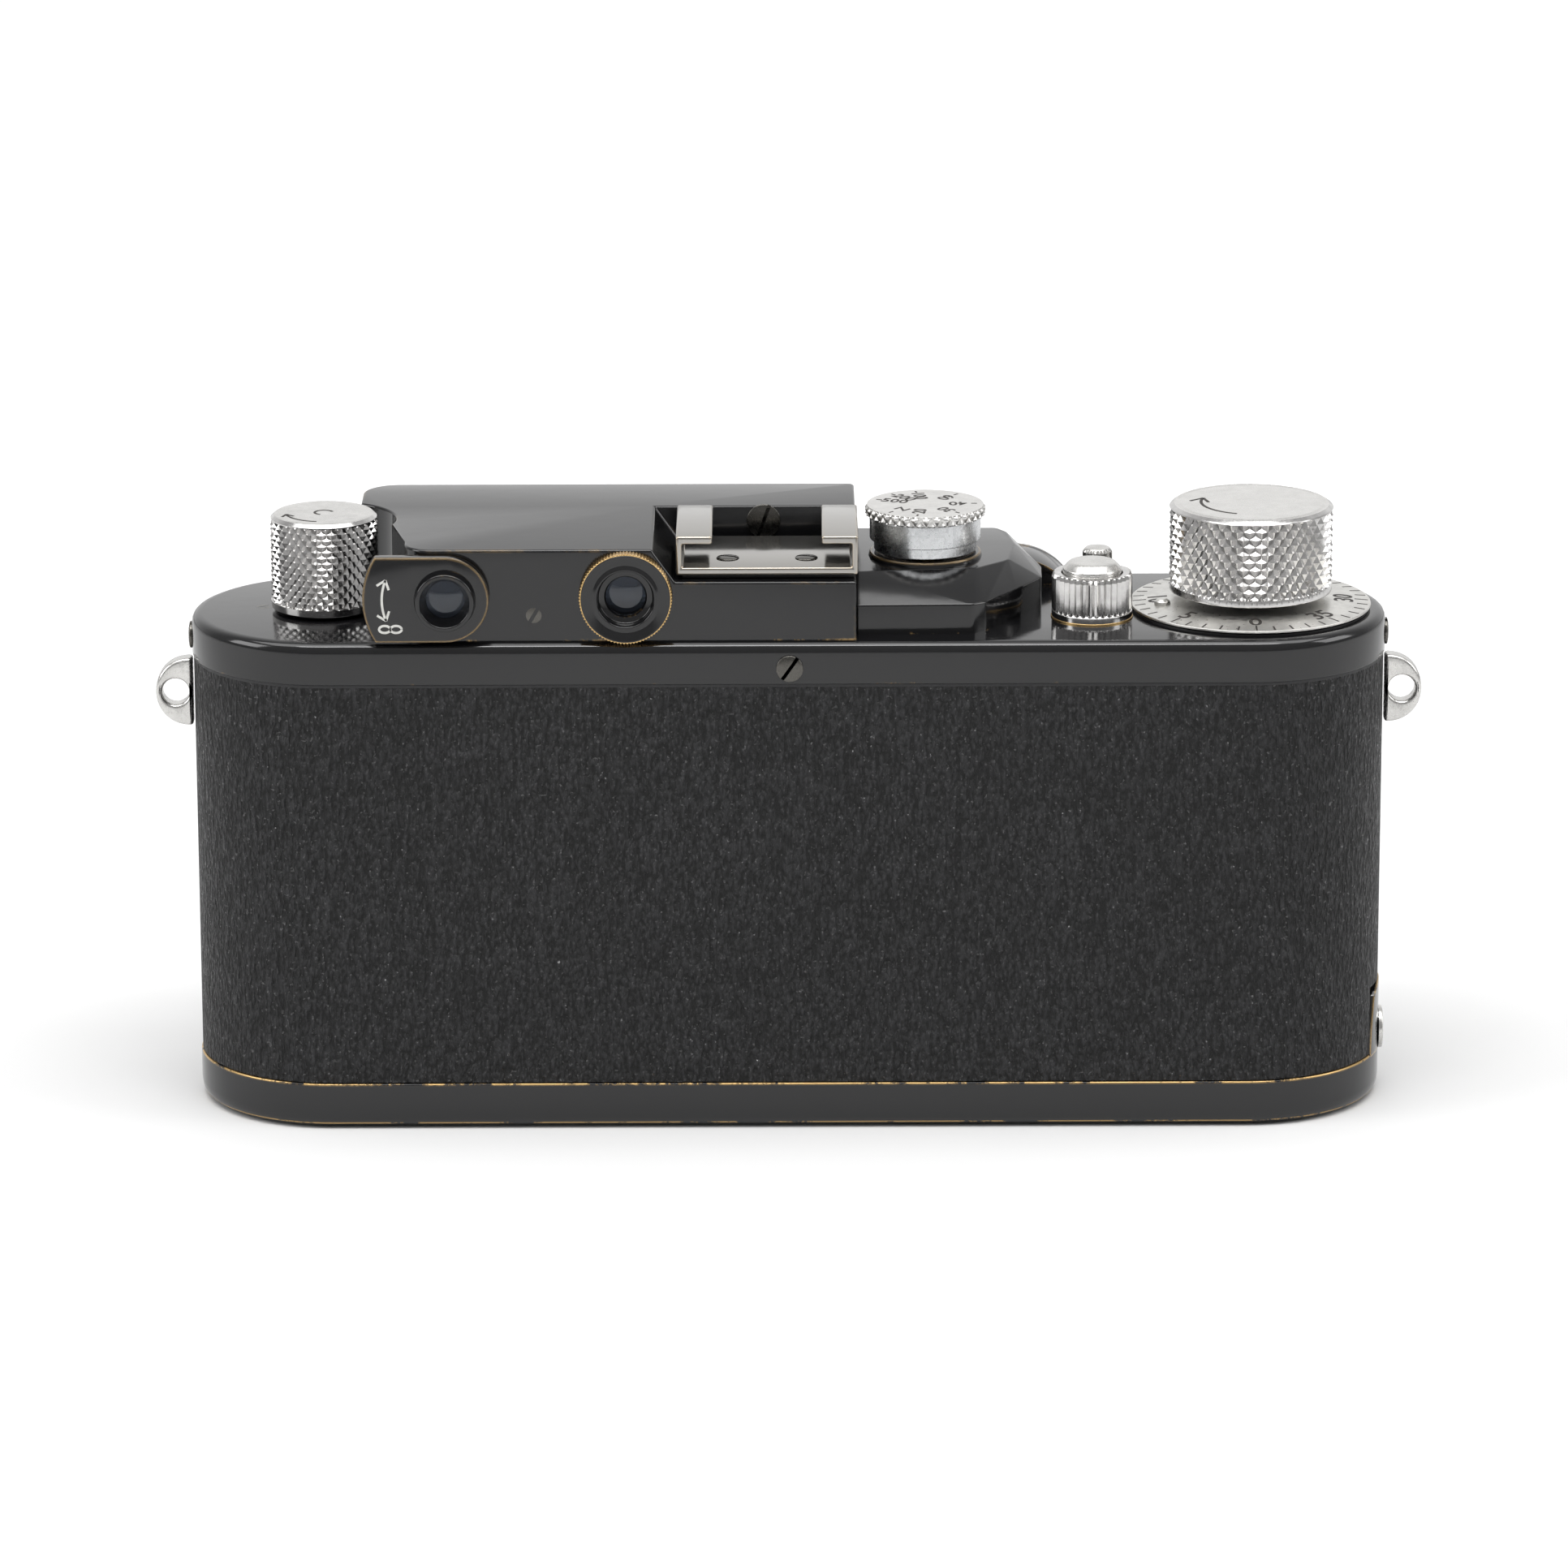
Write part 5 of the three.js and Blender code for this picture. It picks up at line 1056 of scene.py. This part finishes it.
def rewind():
    skirt = [(5.6, 0, 0.1), (5.95, 0.3, 0.1), (6.0, 1.05)]
    crown = [(6.0, 0.55), (5.9, 0.4, 0.1), (5.5, 0.05, 0.1), (5.3, 0, 0.05), (2.4, 0)]
    top = knurled_knob("rewinding_knob", "rewind", REWIND, 6.0, skirt, crown, 30, 7, 0.42, REWIND_TOP, 5.6)
    curve = arc(REWIND.x, REWIND.y, 4.2, 262, 192, 22)
    lines = [curve, arc(REWIND.x, REWIND.y, 1.0, 20, 250, 18)] + arrow(curve, 1.2, 32)
    belongs(strokes("rewind_arrow", lines, 0.28, top + 0.008, INK), "rewind", "nickel")


# ------------------------------------------------------------ lens

def lens():
    def ring(name, profile, mat, body, finish, *nodes, steps=160, relief=None, fine=0):
        piece = revolved(name, profile, LENS, mat, "Y", steps, relief, fine=fine)
        belongs(piece, body, finish, *nodes)

    ring("lens_seat", [(19.5, 14.3), (22, 14.3), (22, 16.8, 0.15), (21.8, 17.0, 0.1), (19.5, 17.0, 0.1)],
        NICKEL, "body", "nickel", "lens_flange")
    ring("lens_mount_ring", [(15.3, 15.6), (19.2, 15.6), (19.2, 17.1), (23.5, 17.1, 0.2),
        (23.5, 19.1, 0.25), (15.3, 19.3, 0.1)], LENS_METAL, "body", "nickel", "lens_mount")
    ring("helicoid_tube", [(12.4, 9.0), (15.1, 9.0), (15.1, 20.1, 0.15), (12.4, 20.3, 0.15)], BRIGHT_BRASS,
        "helicoid", "brass", "helicoid_sleeve")
    focus = revolved("focusing_ring", [(15.4, 19.5), (22.3, 19.5, 0.15), (22.5, 19.8), (22.5, 22.6, 0.1),
        (21.9, 22.9, 0.2), (18.4, 24.0, 0.2), (15.4, 24.0, 0.15)], LENS, LENS_METAL, "Y", 540,
        relief=ribs(120, 0.22, 22.2, 20.0, 22.5), fine=0.3)
    lean = radians(225)
    tip = (LENS.x + 23.8 * cos(lean), LENS.z + 23.8 * sin(lean))
    tab = arc(*tip, 3.2, 0, 348, 29)
    tab = softened(prism("focus_tab", tab, 20.25, 23.25, LENS_METAL, "Y"), 0.35, 3)
    dimple = revolved("tab_cap", [(0, 23.0), (1.9, 23.0), (1.7, 23.5, 0.2), (0, 23.6)], (tip[0], 0, tip[1]),
        NICKEL, "Y", 40)
    belongs(joined("focusing_ring", [focus, tab, dimple]), "focus", "nickel", "focus_ring")
    ring("sliding_tube", [(10.6, 1.0), (12.2, 1.0), (12.2, 24.4), (10.6, 24.4)], NICKEL, "tube", "nickel",
        "lens_tube")
    ring("front_ring", [(8.6, 24.4), (17.8, 24.4, 0.15), (18, 24.7), (18, 27.6, 0.1), (17.4, 27.9, 0.15),
        (17.0, 30.7, 0.3), (15.8, 31.0, 0.15), (8.6, 31.0)], LENS_METAL, "tube", "nickel",
        "lens_front_ring", steps=480, relief=ribs(96, 0.2, 17.7, 24.8, 27.5), fine=0.3)
    ring("stop_ring", [(8.6, 31.2), (15.3, 31.2, 0.12), (15.5, 31.4), (15.5, 32.6, 0.1),
        (15.0, STOP_FACE, 0.25), (10.0, STOP_FACE, 0.2), (8.6, 32.2, 0.1)], LENS_METAL, "aperture",
        "nickel", "aperture_ring", steps=480, relief=ribs(80, 0.16, 15.3, 31.5, 32.5), fine=0.2)
    ring("front_element", [(0, 27.2), (8.3, 27.2), (8.4, 27.4), (8.4, 28.6), (6.0, 29.7), (3.0, 30.4),
        (0, 30.6)], LENS_GLASS, "tube", "glass", "front_glass")
    ring("rear_element", [(0, 4.0), (3.5, 4.2), (7.0, 4.9), (10.3, 6.0), (10.3, 7.3), (0, 7.3)], LENS_GLASS,
        "tube", "glass", "rear_glass")
    ring("lens_throat", [(8.4, 24.6), (8.58, 24.6), (8.58, 27.1), (8.4, 27.1)], DARK, "tube", "nickel")
    marks = []
    stand = shift(LENS.x, STOP_FACE + 0.01, LENS.z) @ spin(pi, "Y") @ spin(pi / 2, "X") @ spin(pi,
        "Y") @ spin(pi)
    for i, text in enumerate(("16", "11", "8", "5.6", "4", "2.8")):
        angle = radians(55 + 14 * i)
        sign = moved(numeral("stop_sign", text, 1.7, INK), spin(angle + pi / 2))
        sign = moved(sign, shift(12.4 * cos(angle), 12.4 * sin(angle), 0))
        marks.append(moved(sign, stand))
    belongs(joined("stop_numbers", marks), "aperture", "nickel")


# ------------------------------------------------------------ inside parts that keep their CAD shape

def inside():
    finishes = {CASTING: ("body_shell", "shutter_crate"), DARK: ("pressure_plate",),
        BRIGHT_BRASS: ("wind_gear", "film_sprocket", "rewind_sleeve", "curtain_drum"),
        STEEL: ("mechanism_plate", "rangefinder_arm", "tension_roller", "wind_shaft", "take_up_spool",
        "rewind_shaft"), CURTAIN: ("shutter_curtain",),}
    for mat, names in finishes.items():
        for name in names:
            obj = bpy.data.objects[name]
            obj.data.materials.clear()
            obj.data.materials.append(mat)


PLINTH_ENAMEL = enamel("enamel_plinth", 0.1)
DIAL_METAL = metal("dial_nickel", (0.60, 0.61, 0.62), 0.25, dirt=0.08)
DIAL_TOP = metal("dial_face", (0.74, 0.73, 0.71), 0.34, DIAL, grain=0.35, dirt=0.15)
BUTTON = metal("button_face", (0.7, 0.69, 0.67), 0.26, RELEASE, grain=0.35)
WIND_TOP = metal("winding_face", (0.72, 0.71, 0.69), 0.27, WIND, grain=0.6, dirt=0.12)
REWIND_TOP = metal("rewind_face", (0.70, 0.69, 0.67), 0.27, REWIND, grain=0.6, dirt=0.2)
COUNTER_METAL = metal("counter_face", (0.70, 0.69, 0.66), 0.33, WIND, grain=0.45, dirt=0.22)
LENS_METAL = metal("lens_nickel", (0.68, 0.67, 0.65), 0.22, LENS, "Y", 0.5, 0.08)

for build in (top_plate, covering, base, lock_key, strap_lugs, screws, finder_housing, finder_windows,
        viewfinder_eyepiece, range_eyepiece, accessory_shoe, plinth, speed_dial, slow_speeds, release,
        reversing, wind_knob, counter, rewind, lens, inside):
    build()


# ------------------------------------------------------------ floor, backdrop, light and camera

def shown_white(name, rough):
    """Pale grey near the object, where its shadow falls. Farther off the camera sees plain white."""
    mat, tree, shader = nodes_of(name)
    path = add(tree, "ShaderNodeLightPath")
    away = add(tree, "ShaderNodeVectorMath", operation="LENGTH")
    feed(away, 0, coordinates(tree))
    lift = times(ramp(away.outputs["Value"], 120, 320, 0.0, 0.27), path.outputs["Is Camera Ray"])
    feed(shader, "Base Color", plus(lift, 0.66))
    shader.inputs["Roughness"].default_value = rough
    shader.inputs["Specular IOR Level"].default_value = 0.1
    return mat


def stage():
    floor = block("floor", (-4000, -4000, -2), (4000, 4000, -0.02), shown_white("white_floor", 0.7))
    world = bpy.data.worlds.new("white_room")
    scene.world = world
    world.use_nodes = True
    tree = world.node_tree
    sky = tree.nodes["Background"]
    sky.inputs["Color"].default_value = (1, 1, 1, 1)
    way = add(tree, "ShaderNodeSeparateXYZ")
    feed(way, 0, tree.nodes.new("ShaderNodeTexCoord").outputs["Generated"])
    behind = ramp(way.outputs["Y"], 0.35, 0.92, 0.0, 0.6)
    above = ramp(way.outputs["Z"], 0.0, 0.9, 0.0, 0.14)
    glow = plus(plus(behind, above), 0.36)
    path = tree.nodes.new("ShaderNodeLightPath")
    feed(sky, "Strength", math_node("MAXIMUM", glow, path.outputs["Is Camera Ray"]))


def lamp(name, place, aim, size, power):
    data = bpy.data.lights.new(name, "AREA")
    data.shape = "RECTANGLE"
    data.size, data.size_y = size
    data.energy = power
    obj = linked(name, data)
    obj.location = place
    obj.rotation_euler = (Vector(aim) - Vector(place)).to_track_quat("-Z", "Y").to_euler()


def camera():
    data = bpy.data.cameras.new("camera")
    data.lens = 185.4
    data.sensor_width = 36
    obj = linked("camera", data)
    tilt = radians(16)
    back = Vector((0, -cos(tilt), sin(tilt)))
    obj.location = Vector((-0.00056, 0, 0.03549)) + back * 0.9057
    turn = (-back).to_track_quat("-Z", "Y") @ Quaternion((0, 0, 1), radians(-0.18))
    obj.rotation_mode = "QUATERNION"
    obj.rotation_quaternion = turn
    data.clip_start = 0.01
    scene.camera = obj


stage()
lamp("overhead", (0.0, -0.15, 1.2), (0, 0, 0.05), (1.8, 0.8), 14)
lamp("strip", (0.0, -0.35, 0.9), (0, 0, 0.05), (0.7, 0.14), 3)
lamp("side_left", (-0.9, -0.25, 0.45), (0, 0, 0.04), (0.5, 0.5), 3.5)
lamp("side_right", (0.9, -0.15, 0.5), (0, 0, 0.04), (0.5, 0.5), 3.0)
camera()
scene.view_settings.view_transform = "Standard"
